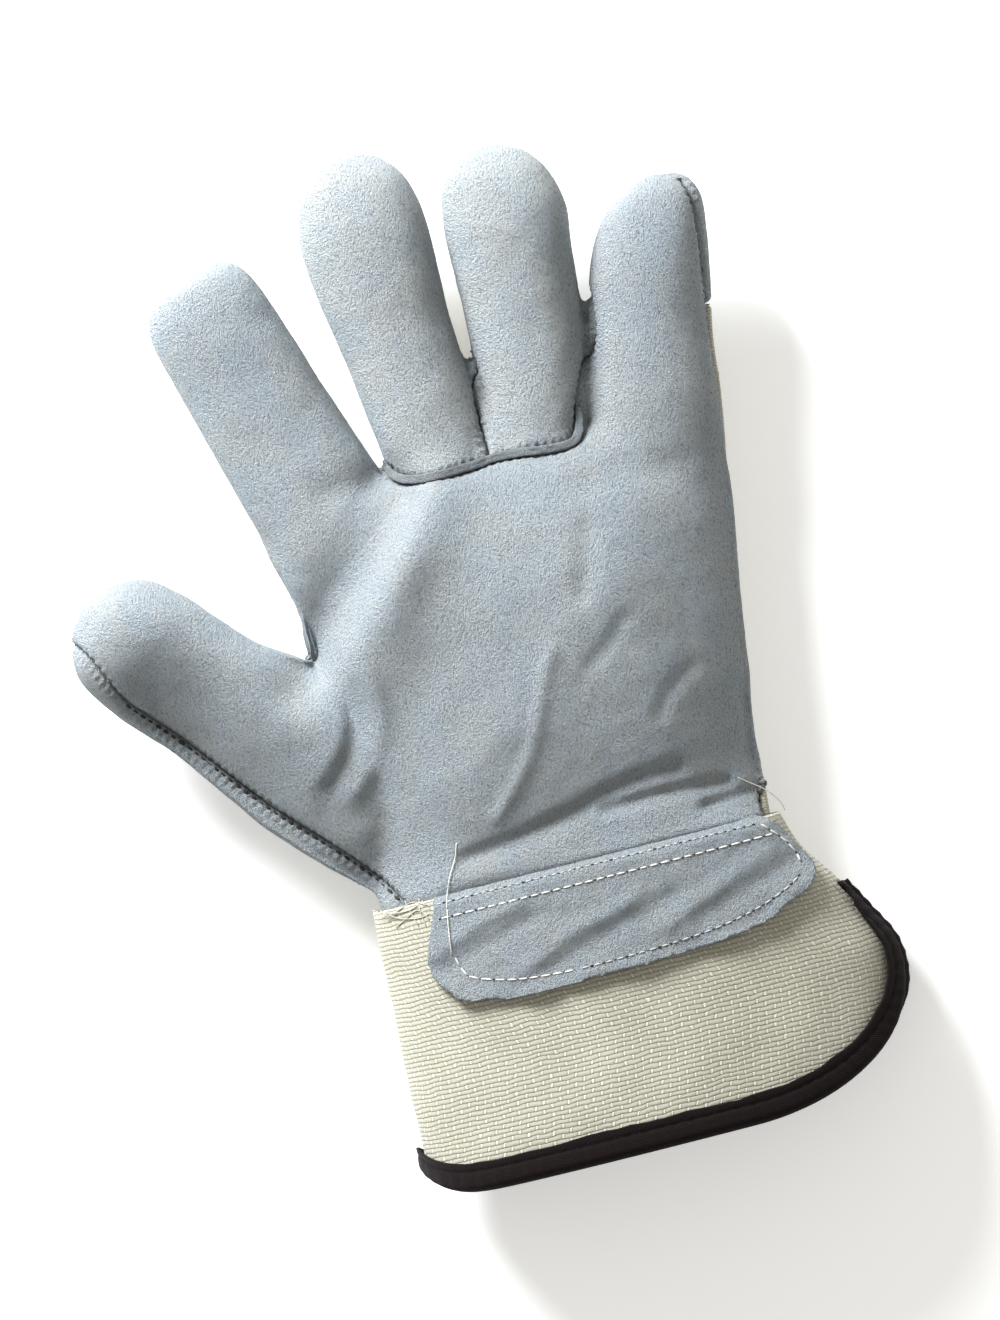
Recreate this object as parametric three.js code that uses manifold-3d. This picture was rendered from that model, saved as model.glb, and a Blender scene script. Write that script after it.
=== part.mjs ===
// Left-hand rigger glove lying on its back: split leather palm, fingers and thumb, canvas back, and a
// flared canvas safety cuff that is split on the little finger's side and bound with tape. Millimetres, +Z
// up, fingers towards +Y, thumb towards -X, origin on the floor under the middle of its box.
import * as THREE from "three";
import { mergeVertices } from "three/addons/utils/BufferGeometryUtils.js";
import Module from "manifold-3d";

const wasm = await Module();
wasm.setup();

// Walls and clearances
const LEATHER = 1.6;
const CANVAS = 1.4;
const TAPE = 0.8;
const GAP = 0.35; // between neighbouring pieces
const CUFF_EASE = 0.9; // between the leather tucked into the cuff and the cuff
const TAPE_EASE = 0.6; // between the canvas and the tape folded round its edge

// The cuff lies round the leather at the wrist, so its layers are distances outside the hand's sections
const CUFF_INNER = CUFF_EASE;
const CUFF_OUTER = CUFF_EASE + CANVAS;
const TAPE_OUTER = CUFF_OUTER + TAPE_EASE + TAPE;
const TAPE_INNER = CUFF_INNER - TAPE_EASE - TAPE;

// Sections around a form are superellipses: a power of 2 is an ellipse, more is squarer
const TOP_POWER = 2.2;
const BOTTOM_POWER = 2.8;

// Forms. Each starts at a point of the hand, side in its half widths and along in its lengths, and runs at
// an angle from +Y, positive towards the little finger's side. Length and width are on the plan, crown and
// belly are the depths above and below the widest line, lift is how far the tip curls up, and roll turns
// the side seam about the form's own axis, at its start and at its tip. The hand starts at the middle of
// the wrist seam.
const HAND = { side: 0, along: 0, angle: 0, length: 111, width: 114, crown: 24, belly: 20, lift: 0 };
const INDEX = { side: -0.667, along: 0.82, angle: -17.5, length: 88, width: 34, crown: 13.5, belly: 15 };
const MIDDLE = { side: -0.132, along: 0.811, angle: -4.8, length: 108, width: 34, crown: 14, belly: 15 };
const RING = { side: 0.281, along: 0.811, angle: 4.3, length: 100.5, width: 33, crown: 13.5, belly: 15 };
const LITTLE = { side: 0.763, along: 0.811, angle: 12.4, length: 85, width: 32, crown: 13, belly: 15 };
const THUMB = { side: -0.747, along: 0.191, angle: -43, length: 102, width: 38, crown: 17, belly: 16 };
INDEX.lift = 5;
MIDDLE.lift = 6;
RING.lift = 6;
LITTLE.lift = 5;
THUMB.lift = 7;
LITTLE.roll = [0, 14];
THUMB.roll = [-38, -34];

// Heights
const FLATTENED = 1; // how much of the hand's back is pressed flat by the floor
const SIDE_HEIGHT = HAND.belly - FLATTENED; // of the glove's widest line above the floor
const SEAM_DROP = 3; // from the widest line down to the side seam, which the palm's leather wraps round to
const WRIST_RISE = 16; // length over which the hand's back rises to the cuff, which lies on its tape

// Sections, as shares of the form's own sizes: along its length, left and right of its axis in half widths,
// top in crowns, bottom in bellies, lift in tip lifts
const HAND_ROWS = [
  { along: -0.08, left: 0.945, right: 0.91, top: 0.74, bottom: 0.81, lift: 0 },
  { along: 0, left: 0.945, right: 0.92, top: 0.75, bottom: 0.81, lift: 0 },
  { along: 0.1, left: 0.95, right: 0.93, top: 0.85, bottom: 0.88, lift: 0 },
  { along: 0.22, left: 0.955, right: 0.945, top: 0.94, bottom: 1, lift: 0 },
  { along: 0.4, left: 0.96, right: 1, top: 1, bottom: 1, lift: 0 },
  { along: 0.6, left: 0.965, right: 1.06, top: 1, bottom: 1, lift: 0 },
  { along: 0.75, left: 0.995, right: 1.1, top: 0.93, bottom: 1, lift: 0 },
  { along: 0.87, left: 1.05, right: 1.13, top: 0.79, bottom: 0.98, lift: 0 },
  { along: 0.95, left: 1.07, right: 1.14, top: 0.62, bottom: 0.85, lift: 0 },
  { along: 1, left: 1.05, right: 1.11, top: 0.36, bottom: 0.55, lift: 0 },
];
const INDEX_ROWS = [
  { along: 0, left: 1.08, right: 1.08, top: 1.05, bottom: 1, lift: 0 },
  { along: 0.34, left: 1.04, right: 1.04, top: 1, bottom: 1, lift: 0.1 },
  { along: 0.6, left: 1.01, right: 1.01, top: 0.98, bottom: 0.96, lift: 0.4 },
  { along: 0.8, left: 0.97, right: 0.99, top: 0.95, bottom: 0.9, lift: 0.75 },
  { along: 0.9, left: 0.9, right: 0.95, top: 0.87, bottom: 0.8, lift: 0.9 },
  { along: 0.96, left: 0.74, right: 0.84, top: 0.7, bottom: 0.62, lift: 1 },
  { along: 0.99, left: 0.45, right: 0.62, top: 0.42, bottom: 0.38, lift: 1 },
];
const MIDDLE_ROWS = [
  { along: 0, left: 0.8, right: 0.8, top: 0.95, bottom: 1, lift: 0 },
  { along: 0.19, left: 0.83, right: 0.83, top: 0.95, bottom: 1, lift: 0 },
  { along: 0.33, left: 0.88, right: 0.86, top: 1, bottom: 1, lift: 0.15 },
  { along: 0.52, left: 0.94, right: 0.9, top: 1.02, bottom: 0.98, lift: 0.4 },
  { along: 0.7, left: 1.04, right: 1.0, top: 1.04, bottom: 0.95, lift: 0.7 },
  { along: 0.82, left: 1.02, right: 1.0, top: 0.98, bottom: 0.88, lift: 0.9 },
  { along: 0.91, left: 0.83, right: 0.83, top: 0.8, bottom: 0.7, lift: 1 },
  { along: 0.97, left: 0.5, right: 0.52, top: 0.5, bottom: 0.42, lift: 1 },
];
const RING_ROWS = [
  { along: 0, left: 0.74, right: 0.74, top: 0.95, bottom: 1, lift: 0 },
  { along: 0.2, left: 0.77, right: 0.75, top: 0.95, bottom: 1, lift: 0 },
  { along: 0.33, left: 0.82, right: 0.86, top: 1, bottom: 1, lift: 0.15 },
  { along: 0.52, left: 0.95, right: 0.95, top: 1.02, bottom: 0.98, lift: 0.4 },
  { along: 0.7, left: 1.02, right: 1.0, top: 1.05, bottom: 0.95, lift: 0.7 },
  { along: 0.81, left: 1.02, right: 1.03, top: 1, bottom: 0.88, lift: 0.9 },
  { along: 0.91, left: 0.88, right: 0.83, top: 0.8, bottom: 0.7, lift: 1 },
  { along: 0.97, left: 0.58, right: 0.52, top: 0.5, bottom: 0.42, lift: 1 },
];
const LITTLE_ROWS = [
  { along: 0, left: 1.05, right: 1.2, top: 1.1, bottom: 1, lift: 0 },
  { along: 0.24, left: 1.09, right: 1.17, top: 1.04, bottom: 1, lift: 0.1 },
  { along: 0.45, left: 0.98, right: 1.05, top: 1.0, bottom: 0.98, lift: 0.3 },
  { along: 0.72, left: 0.97, right: 1.0, top: 0.98, bottom: 0.94, lift: 0.7 },
  { along: 0.85, left: 0.78, right: 0.95, top: 0.88, bottom: 0.82, lift: 0.9 },
  { along: 0.93, left: 0.45, right: 0.86, top: 0.72, bottom: 0.64, lift: 1 },
  { along: 0.98, left: 0.08, right: 0.66, top: 0.45, bottom: 0.4, lift: 1 },
];
const THUMB_ROWS = [
  { along: -0.07, left: 1.0, right: 0.6, top: 0.4, bottom: 0.6, lift: 0 },
  { along: 0.06, left: 1.08, right: 0.95, top: 0.75, bottom: 0.9, lift: 0 },
  { along: 0.19, left: 1.11, right: 1.1, top: 0.95, bottom: 1, lift: 0 },
  { along: 0.33, left: 1.1, right: 1.2, top: 1.05, bottom: 1, lift: 0.05 },
  { along: 0.46, left: 1.02, right: 1.14, top: 1.04, bottom: 1, lift: 0.2 },
  { along: 0.58, left: 0.93, right: 1.0, top: 1, bottom: 0.98, lift: 0.4 },
  { along: 0.7, left: 0.94, right: 1.0, top: 1, bottom: 0.95, lift: 0.65 },
  { along: 0.83, left: 0.91, right: 0.98, top: 0.95, bottom: 0.88, lift: 0.85 },
  { along: 0.92, left: 0.74, right: 0.84, top: 0.8, bottom: 0.72, lift: 0.95 },
  { along: 0.98, left: 0.42, right: 0.5, top: 0.46, bottom: 0.4, lift: 1 },
];

// Folds of the palm's leather, on the plan: ends in shares of the hand's half width and length, width as a
// share of the hand's width, height as a share of its crown, below nought for a crease
const FOLDS = [
  { name: "thumb to index ridge", x1: -0.95, y1: 0.63, x2: -0.42, y2: 0.87, width: 0.05, height: 0.15 },
  { name: "hollow under index", x1: -0.86, y1: 0.76, x2: -0.56, y2: 0.88, width: 0.04, height: -0.1 },
  { name: "ridge beside thumb", x1: -0.77, y1: 0.58, x2: -0.74, y2: 0.42, width: 0.045, height: 0.12 },
  { name: "ball of thumb ridge", x1: -0.74, y1: 0.42, x2: -0.9, y2: 0.33, width: 0.05, height: 0.1 },
  { name: "hollow of palm", x1: -0.62, y1: 0.36, x2: -0.5, y2: 0.12, width: 0.07, height: -0.1 },
  { name: "long palm ridge", x1: 0.1, y1: 0.48, x2: -0.35, y2: 0.13, width: 0.035, height: 0.07 },
  { name: "upper wrist crease", x1: -0.33, y1: 0.09, x2: 0.52, y2: 0.165, width: 0.026, height: -0.1 },
  { name: "lower wrist crease", x1: 0.1, y1: 0.1, x2: 0.62, y2: 0.115, width: 0.022, height: -0.06 },
  { name: "roll above the patch", x1: -0.55, y1: 0.03, x2: 0.88, y2: 0.045, width: 0.035, height: 0.1 },
];
const FOLD_FADE = 6; // from the wrist seam up to where the folds have their full height

// Cuff: a flared tube from the wrist seam down to the hem, split at the little finger's side. Sections are
// shares of the hand's half width, crown and belly, along in cuff lengths, and split in side heights, for
// the height of the side where the cuff is split.
const CUFF_LENGTH = 76;
const CUFF_ROWS = [
  { along: 0, left: 0.945, right: 0.92, top: 0.75, bottom: 0.81, split: 1 },
  { along: 0.13, left: 0.955, right: 0.98, top: 0.78, bottom: 0.81, split: 0.95 },
  { along: 0.26, left: 0.96, right: 1.1, top: 0.82, bottom: 0.81, split: 0.85 },
  { along: 0.39, left: 0.965, right: 1.2, top: 0.87, bottom: 0.81, split: 0.72 },
  { along: 0.54, left: 0.975, right: 1.3, top: 0.93, bottom: 0.81, split: 0.6 },
  { along: 0.78, left: 0.98, right: 1.32, top: 1.02, bottom: 0.81, split: 0.5 },
  { along: 1, left: 0.99, right: 1.32, top: 1.08, bottom: 0.81, split: 0.45 },
];
const SPLIT_START = 22; // from the wrist seam down to where the split begins
const SPLIT_FRONT = 5; // from the side line round to the front panel's edge
const SPLIT_BACK = 1.5; // and to the back panel's
const CORNER_HEIGHT = 38; // from the hem up to where the panels' edges start to turn into it
const CORNER_WIDTH = 54; // and along the hem to where they have turned
const CORNER_START = CUFF_LENGTH - CORNER_HEIGHT;
const FOLD_RISE = 7; // how much the hem rises at the folded side
const FOLD_REACH = 12; // and how far round from there
const BINDING_WIDTH = 6; // of the tape folded over the hem, on each face
const BESIDE_SPLIT = [0.15, 0.45, 0.75]; // where the tape has sections between the split's start and the turn

// Wrist patch: a leather tab sewn over the front of the cuff's top
const PATCH_LEFT = 0.763; // its end at the thumb's side, in half widths of the hand
const PATCH_RIGHT = 1.035; // and at the little finger's side
const PATCH_HEIGHT = 29.5; // down from the wrist seam
const PATCH_TUCK = 1; // and up past it
const PATCH_CORNER = 17; // radius of its lower corners

// Finger base seam: the two middle fingers' fronts are sewn to the palm here, with a leather welt between.
// Its ends and the place where the two fronts part are in half widths of the hand.
const BASE_SEAM_LEFT = -0.421;
const BASE_SEAM_RIGHT = 0.491;
const FINGER_SPLIT = 0.093;
const BASE_SEAM_INSET = 3.5; // back from the hand's front end
const BASE_SEAM_CORNER = 3.5; // of the seam's turned-up ends
const WELT_WIDTH = 2.2;
const WELT_THIN = 0.5; // its width where it runs out between the fingers
const WELT_PROUD = 1; // above the leather
const WELT_ENDS = 12; // how far its ends run up between the fingers

// How the cut between the two fronts and the palm's leather runs on up between the fingers from the seam's
// ends, sideways in half widths of the hand and up in lengths of the middle finger
const BETWEEN_FINGERS = [
  { left: 0.044, right: 0.061, up: 0.11 },
  { left: 0.088, right: 0.167, up: 0.22 },
  { left: 0.14, right: 0.228, up: 0.44 },
  { left: 0.28, right: 0.439, up: 1.1 },
];

// Seam between the thumb's leather back and the canvas back, in half widths to the thumb's side and hand
// lengths
const THUMB_BACK_SEAM = [
  { side: 0.64, along: -0.2 },
  { side: 0.64, along: 0.04 },
  { side: 0.95, along: 0.56 },
  { side: 0.92, along: 0.68 },
  { side: 1.08, along: 0.77 },
  { side: 2, along: 1.3 },
];

// Leather backs of the fingertips start here, as shares of each finger's length
const INDEX_TIP = 0.62;
const MIDDLE_TIP = 0.7;
const RING_TIP = 0.68;
const LITTLE_TIP = 0.58;

// Mesh steps
const HAND_STEPS = 15;
const HAND_POINTS = 32;
const DIGIT_STEPS = 8;
const DIGIT_POINTS = 16;
const CUFF_STEPS = 8;
const SPLIT_ROW = 3; // row of the cuff where the split begins
const CORNER_STEPS = 7;
const GIRTH_STEPS = 22;
const PATCH_STEPS = 12;
const SECTION_SAMPLES = 160; // for measuring round a section

// Reach of the cutting blocks, and in shares of a form's length
const FAR = 400;
const PAST_TIP = 1.15;

// A value between table rows, on a smooth curve through them
function between(rows, column, along) {
  let i = 0;
  while (i < rows.length - 2 && along > rows[i + 1].along) i += 1;
  const rowNear = (k) => rows[THREE.MathUtils.clamp(k, 0, rows.length - 1)];
  const [a, b, c, d] = [i - 1, i, i + 1, i + 2].map(rowNear);
  const t = THREE.MathUtils.clamp((along - b.along) / (c.along - b.along), 0, 1);
  const span = c.along - b.along;
  const slopeB = (span * (c[column] - a[column])) / (c.along - a.along);
  const slopeC = (span * (d[column] - b[column])) / (d.along - b.along);
  const t2 = t * t;
  const t3 = t2 * t;
  return (
    (2 * t3 - 3 * t2 + 1) * b[column] +
    (t3 - 2 * t2 + t) * slopeB +
    (3 * t2 - 2 * t3) * c[column] +
    (t3 - t2) * slopeC
  );
}

// Places along a form: the table's own rows, and even steps between the widest apart
function stationsOf(rows, steps) {
  const stations = rows.map((row) => row.along);
  while (stations.length < steps) {
    let widest = 0;
    for (let i = 1; i < stations.length - 1; i += 1) {
      if (stations[i + 1] - stations[i] > stations[widest + 1] - stations[widest]) widest = i;
    }
    stations.splice(widest + 1, 0, (stations[widest] + stations[widest + 1]) / 2);
  }
  return stations;
}

// Height that the folds add to the palm at a point of the plan; they fade out where the cuff holds the
// leather
function foldHeight(x, y) {
  const half = HAND.width / 2;
  const fade = THREE.MathUtils.smoothstep(y, 0, FOLD_FADE);
  let height = 0;
  for (const fold of FOLDS) {
    const from = new THREE.Vector2(fold.x1 * half, fold.y1 * HAND.length);
    const run = new THREE.Vector2(fold.x2 * half, fold.y2 * HAND.length).sub(from);
    const point = new THREE.Vector2(x, y).sub(from);
    const t = THREE.MathUtils.clamp(point.dot(run) / run.lengthSq(), 0, 1);
    const distance = point.distanceTo(run.multiplyScalar(t)) / (fold.width * HAND.width);
    height += fold.height * HAND.crown * Math.exp(-distance * distance);
  }
  return fade * height;
}

// A point of a form from its lengths along and across the form
function place(form, along, across, height) {
  const angle = THREE.MathUtils.degToRad(form.angle);
  const x = (form.side * HAND.width) / 2 + along * Math.sin(angle) + across * Math.cos(angle);
  const y = form.along * HAND.length + along * Math.cos(angle) - across * Math.sin(angle);
  return new THREE.Vector3(x, y, height);
}

// Height of the flattened underside along the glove
const floorAt = (y) => TAPE_OUTER * (1 - THREE.MathUtils.smoothstep(y, 0, WRIST_RISE));

const powered = (value, power) => Math.sign(value) * Math.abs(value) ** (2 / power);

// A point of a superellipse section at a turn about its middle, grown outwards by a distance
function sectionPoint(form, row, along, turn, grow) {
  const left = (row.left * form.width) / 2 + grow;
  const right = (row.right * form.width) / 2 + grow;
  const [c, s] = [Math.cos(turn), Math.sin(turn)];
  const power = s > 0 ? TOP_POWER : BOTTOM_POWER;
  const across = (right - left) / 2 + ((left + right) / 2) * powered(c, power);
  const share = (across + left) / (left + right);
  const side = SIDE_HEIGHT * THREE.MathUtils.lerp(1, row.split ?? 1, share) + form.lift * (row.lift ?? 0);
  const depth = s > 0 ? form.crown * row.top : form.belly * row.bottom;
  return place(form, along, across, side + (depth + grow) * powered(s, power));
}

function rowAt(rows, share) {
  const columns = Object.keys(rows[0]).filter((column) => column !== "along");
  return Object.fromEntries(columns.map((column) => [column, between(rows, column, share)]));
}

// A body from matching numbers: points, and triangles as indices of them
function solidFrom(points, triangles) {
  const vertProperties = new Float32Array(points.flatMap((point) => point.toArray()));
  const triVerts = new Uint32Array(triangles);
  return new wasm.Manifold(new wasm.Mesh({ numProp: 3, vertProperties, triVerts }));
}

// A closed solid over rings of equal count, with its ends closed to a point each
function skinOver(rings, start, end) {
  const points = rings[0].length;
  const last = rings.length - 1;
  const startIndex = rings.length * points;
  const triangles = [];
  const at = (ring, i) => ring * points + (i % points);
  for (let i = 0; i < points; i += 1) {
    for (let ring = 0; ring < last; ring += 1) {
      triangles.push(at(ring, i), at(ring + 1, i), at(ring, i + 1));
      triangles.push(at(ring, i + 1), at(ring + 1, i), at(ring + 1, i + 1));
    }
    triangles.push(startIndex, at(0, i), at(0, i + 1));
    triangles.push(startIndex + 1, at(last, i + 1), at(last, i));
  }
  return solidFrom([...rings.flat(), start, end], triangles);
}

// A wall between two matching surfaces: the quads lie on the outer one, and open edges are closed between
// them
function wallOf(outer, inner, quads) {
  const count = outer.length;
  const triangles = [];
  const open = new Map();
  for (const [a, b, c, d] of quads) {
    triangles.push(a, b, c, a, c, d);
    triangles.push(count + a, count + c, count + b, count + a, count + d, count + c);
    for (const [from, to] of [[a, b], [b, c], [c, d], [d, a]]) {
      if (!open.delete(`${to} ${from}`)) open.set(`${from} ${to}`, [from, to]);
    }
  }
  for (const [from, to] of open.values()) {
    triangles.push(to, from, count + from, to, count + from, count + to);
  }
  return solidFrom([...outer, ...inner], triangles);
}

function middleOf(ring) {
  const sum = ring.reduce((total, point) => total.add(point), new THREE.Vector3());
  return sum.divideScalar(ring.length);
}

// A digit or the hand as a closed solid, grown by a distance; a shrunk one is carried out through its start
function formSolid(form, rows, steps, points, grow, openStart, folded) {
  const reach = (form.length + grow) / form.length;
  const rings = stationsOf(rows, steps).map((share, i) => {
    const row = rowAt(rows, share);
    const along = share * form.length * (share > 0 ? reach : 1) - (i === 0 ? openStart : 0);
    return Array.from({ length: points }, (_, k) => {
      const turn = (2 * Math.PI * k) / points;
      const point = sectionPoint(form, row, along, turn, grow);
      if (folded && k < points / 2) point.z += Math.sin(turn) * foldHeight(point.x, point.y);
      point.z = Math.max(point.z, floorAt(point.y) - grow);
      return point;
    });
  });
  const last = rows[rows.length - 1];
  const across = ((last.right - last.left) * form.width) / 4;
  const tip = place(form, form.length + grow, across, middleOf(rings.at(-1)).z);
  return skinOver(rings, middleOf(rings[0]), tip);
}

// The space behind a form's side seam: a block whose top is the seam's plane, rolled about the form's axis,
// and that is grown on all sides by a distance
function behindSeam(form, rows, startShare, leftReach, rightReach, grow) {
  const inner = rows.map((row) => row.along).filter((share) => share > startShare);
  const shares = [startShare - grow / form.length, ...inner, PAST_TIP];
  const rings = shares.map((share) => {
    const seam = SIDE_HEIGHT + form.lift * between(rows, "lift", share) - SEAM_DROP + grow;
    const [startRoll, tipRoll] = form.roll ?? [0, 0];
    const roll = THREE.MathUtils.lerp(startRoll, tipRoll, THREE.MathUtils.clamp(share, 0, 1));
    const slope = Math.tan(THREE.MathUtils.degToRad(roll));
    const corner = (across, height) => place(form, share * form.length, across, height);
    return [
      corner(rightReach + grow, -FAR),
      corner(rightReach + grow, seam + slope * rightReach),
      corner(-leftReach - grow, seam - slope * leftReach),
      corner(-leftReach - grow, -FAR),
    ];
  });
  return skinOver(rings, middleOf(rings[0]), middleOf(rings.at(-1)));
}

// A three.js geometry as a solid, and back
function solidOf(geometry) {
  geometry.deleteAttribute("normal");
  geometry.deleteAttribute("uv");
  const merged = mergeVertices(geometry, 1e-4);
  const vertProperties = new Float32Array(merged.attributes.position.array);
  return new wasm.Manifold(
    new wasm.Mesh({ numProp: 3, vertProperties, triVerts: new Uint32Array(merged.index.array) }),
  );
}

function geometryOf(solid) {
  const mesh = solid.getMesh();
  const geometry = new THREE.BufferGeometry();
  geometry.setAttribute("position", new THREE.BufferAttribute(Float32Array.from(mesh.vertProperties), 3));
  geometry.setIndex(new THREE.BufferAttribute(Uint32Array.from(mesh.triVerts), 1));
  const flat = geometry.toNonIndexed();
  flat.computeVertexNormals();
  return flat;
}

// An outline on the plan as a block through all heights
function blockOf(corners) {
  const shape = new THREE.Shape(corners.map(([x, y]) => new THREE.Vector2(x, y)));
  const geometry = new THREE.ExtrudeGeometry(shape, { depth: 2 * FAR, bevelEnabled: false });
  geometry.translate(0, 0, -FAR);
  return solidOf(geometry);
}

const union = (solids) => solids.reduce((sum, solid) => sum.add(solid));

// The largest body of a cut piece, without the crumbs that a cut leaves at a corner
function largest(solid) {
  return solid.decompose().reduce((best, body) => (body.volume() > best.volume() ? body : best));
}

// The outside or inside of hand and digits together
const DIGITS = [
  { form: INDEX, rows: INDEX_ROWS },
  { form: MIDDLE, rows: MIDDLE_ROWS },
  { form: RING, rows: RING_ROWS },
  { form: LITTLE, rows: LITTLE_ROWS },
  { form: THUMB, rows: THUMB_ROWS },
];
const OPEN_START = 2; // how far the inside runs out through the wrist

function bodyForm(grow) {
  const openStart = grow < 0 ? OPEN_START : 0;
  const hand = formSolid(HAND, HAND_ROWS, HAND_STEPS, HAND_POINTS, grow, openStart, true);
  const digit = ({ form, rows }) => formSolid(form, rows, DIGIT_STEPS, DIGIT_POINTS, grow, 0, false);
  return union([hand, ...DIGITS.map(digit)]);
}

const outside = bodyForm(0);
const leatherInside = bodyForm(-LEATHER);
const leatherShell = outside.subtract(leatherInside);
const canvasShell = outside.subtract(bodyForm(-CANVAS));

// Everything behind the side seams
const SEAM_REACH = 8; // past a form's widest half width
const WRIST_REACH = -0.35; // share of a form's length from which its seam is cut at the wrist
const AXIS_OVERLAP = 2; // of the thumb's rolled and flat seam planes, at its axis
const reachOf = (form) => form.width / 2 + SEAM_REACH;

function behindSeams(grow) {
  const flatThumb = { ...THUMB, roll: [0, 0] };
  const finger = ({ form, rows }) => behindSeam(form, rows, 0, reachOf(form), reachOf(form), grow);
  return union([
    behindSeam(HAND, HAND_ROWS, WRIST_REACH, reachOf(HAND), reachOf(HAND) + SEAM_REACH, grow),
    behindSeam(THUMB, THUMB_ROWS, WRIST_REACH, reachOf(THUMB) + SEAM_REACH, AXIS_OVERLAP, grow),
    behindSeam(flatThumb, THUMB_ROWS, 0, AXIS_OVERLAP, reachOf(THUMB), grow),
    ...DIGITS.filter(({ form }) => form !== THUMB).map(finger),
  ]);
}

const front = leatherShell.subtract(behindSeams(GAP / 2));
const behind = behindSeams(-GAP / 2);

// The outline that the two middle fingers' fronts fill above the finger base seam, drawn in by a distance,
// and by less between the fingers
const BASE_SEAM_Y = HAND.length - BASE_SEAM_INSET;
const CORNER_Y = BASE_SEAM_Y + BASE_SEAM_CORNER;
const acrossHand = (share) => (share * HAND.width) / 2;

function middleFingersBlock(inset, ease) {
  const left = acrossHand(BASE_SEAM_LEFT);
  const right = acrossHand(BASE_SEAM_RIGHT);
  const beside = (x, row) => [x, CORNER_Y + row.up * MIDDLE.length];
  return blockOf([
    [left + inset, CORNER_Y + inset],
    [left + BASE_SEAM_CORNER + inset, BASE_SEAM_Y + inset],
    [right - BASE_SEAM_CORNER - inset, BASE_SEAM_Y + inset],
    [right - inset, CORNER_Y + inset],
    ...BETWEEN_FINGERS.map((row) => beside(right + acrossHand(row.right) - ease, row)),
    ...BETWEEN_FINGERS.map((row) => beside(left - acrossHand(row.left) + ease, row)).reverse(),
  ]);
}

// Everything on one side of a line along the glove
function sideBlock(x, sign) {
  const far = sign * FAR;
  return blockOf([
    [x, -far],
    [far, -far],
    [far, far],
    [x, far],
  ]);
}

const middleSide = sideBlock(acrossHand(FINGER_SPLIT) - GAP / 2, -1);
const ringSide = sideBlock(acrossHand(FINGER_SPLIT) + GAP / 2, 1);

const palmLeather = largest(front.subtract(middleFingersBlock(0, 0)));
const fingerFronts = front.intersect(middleFingersBlock(WELT_WIDTH + 2 * GAP, WELT_THIN + 2 * GAP));
const middleFront = largest(fingerFronts.intersect(middleSide));
const ringFront = largest(fingerFronts.intersect(ringSide));

const weltTop = CORNER_Y + WELT_ENDS;
const weltReach = blockOf([
  [-FAR, 0],
  [FAR, 0],
  [FAR, weltTop],
  [-FAR, weltTop],
]);
const welt = largest(
  bodyForm(WELT_PROUD)
    .subtract(leatherInside)
    .subtract(behindSeams(GAP / 2))
    .intersect(middleFingersBlock(GAP, GAP))
    .subtract(middleFingersBlock(WELT_WIDTH + GAP, WELT_THIN + GAP))
    .intersect(weltReach),
);

// The thumb's leather back, and the rest behind the seams
function thumbBackBlock(grow) {
  const seam = THUMB_BACK_SEAM.map(({ side, along }) => [grow - acrossHand(side), along * HAND.length]);
  return blockOf([...seam, [-FAR, seam.at(-1)[1]], [-FAR, seam[0][1]]]);
}

const thumbBack = largest(leatherShell.intersect(behind).intersect(thumbBackBlock(-GAP / 2)));
const handBack = behind.subtract(thumbBackBlock(GAP / 2));

// Leather back of a fingertip, and the space that it leaves in the canvas
const TIP_REACH = 4; // past the finger's half width

function tipBlock(form, share, grow) {
  const corner = (along, across) => {
    const point = place(form, along, across, 0);
    return [point.x, point.y];
  };
  const start = share * form.length - grow;
  const reach = form.width / 2 + TIP_REACH;
  return blockOf([
    corner(PAST_TIP * form.length, -reach),
    corner(PAST_TIP * form.length, reach),
    corner(start, reach),
    corner(start, -reach),
  ]);
}

const TIPS = [
  { name: "index_tip_back", form: INDEX, start: INDEX_TIP, side: middleSide },
  { name: "middle_tip_back", form: MIDDLE, start: MIDDLE_TIP, side: middleSide },
  { name: "ring_tip_back", form: RING, start: RING_TIP, side: ringSide },
  { name: "little_tip_back", form: LITTLE, start: LITTLE_TIP, side: ringSide },
];
const leatherBack = leatherShell.intersect(handBack);
const tipBacks = TIPS.map(({ name, form, start, side }) => ({
  name,
  solid: largest(leatherBack.intersect(side).intersect(tipBlock(form, start, -GAP / 2))),
}));
const tipRegions = union(TIPS.map(({ form, start }) => tipBlock(form, start, GAP / 2)));
const canvasBack = largest(
  canvasShell.intersect(handBack).subtract(tipRegions),
);

function cuffSection(y) {
  const row = rowAt(CUFF_ROWS, THREE.MathUtils.clamp(-y / CUFF_LENGTH, 0, 1));
  const lengths = [0];
  let last = sectionPoint(HAND, row, y, 0, 0);
  for (let i = 1; i <= SECTION_SAMPLES; i += 1) {
    const point = sectionPoint(HAND, row, y, (2 * Math.PI * i) / SECTION_SAMPLES, 0);
    lengths.push(lengths[i - 1] + point.distanceTo(last));
    last = point;
  }
  return { row, lengths, girth: lengths[SECTION_SAMPLES] };
}

// Turn about a section's middle at a length round it from the split's side
function turnAt({ lengths }, length) {
  const target = THREE.MathUtils.clamp(length, 0, lengths[SECTION_SAMPLES]);
  let i = 1;
  while (i < SECTION_SAMPLES && lengths[i] < target) i += 1;
  const share = (target - lengths[i - 1]) / (lengths[i] - lengths[i - 1]);
  return (2 * Math.PI * (i - 1 + share)) / SECTION_SAMPLES;
}

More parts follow.
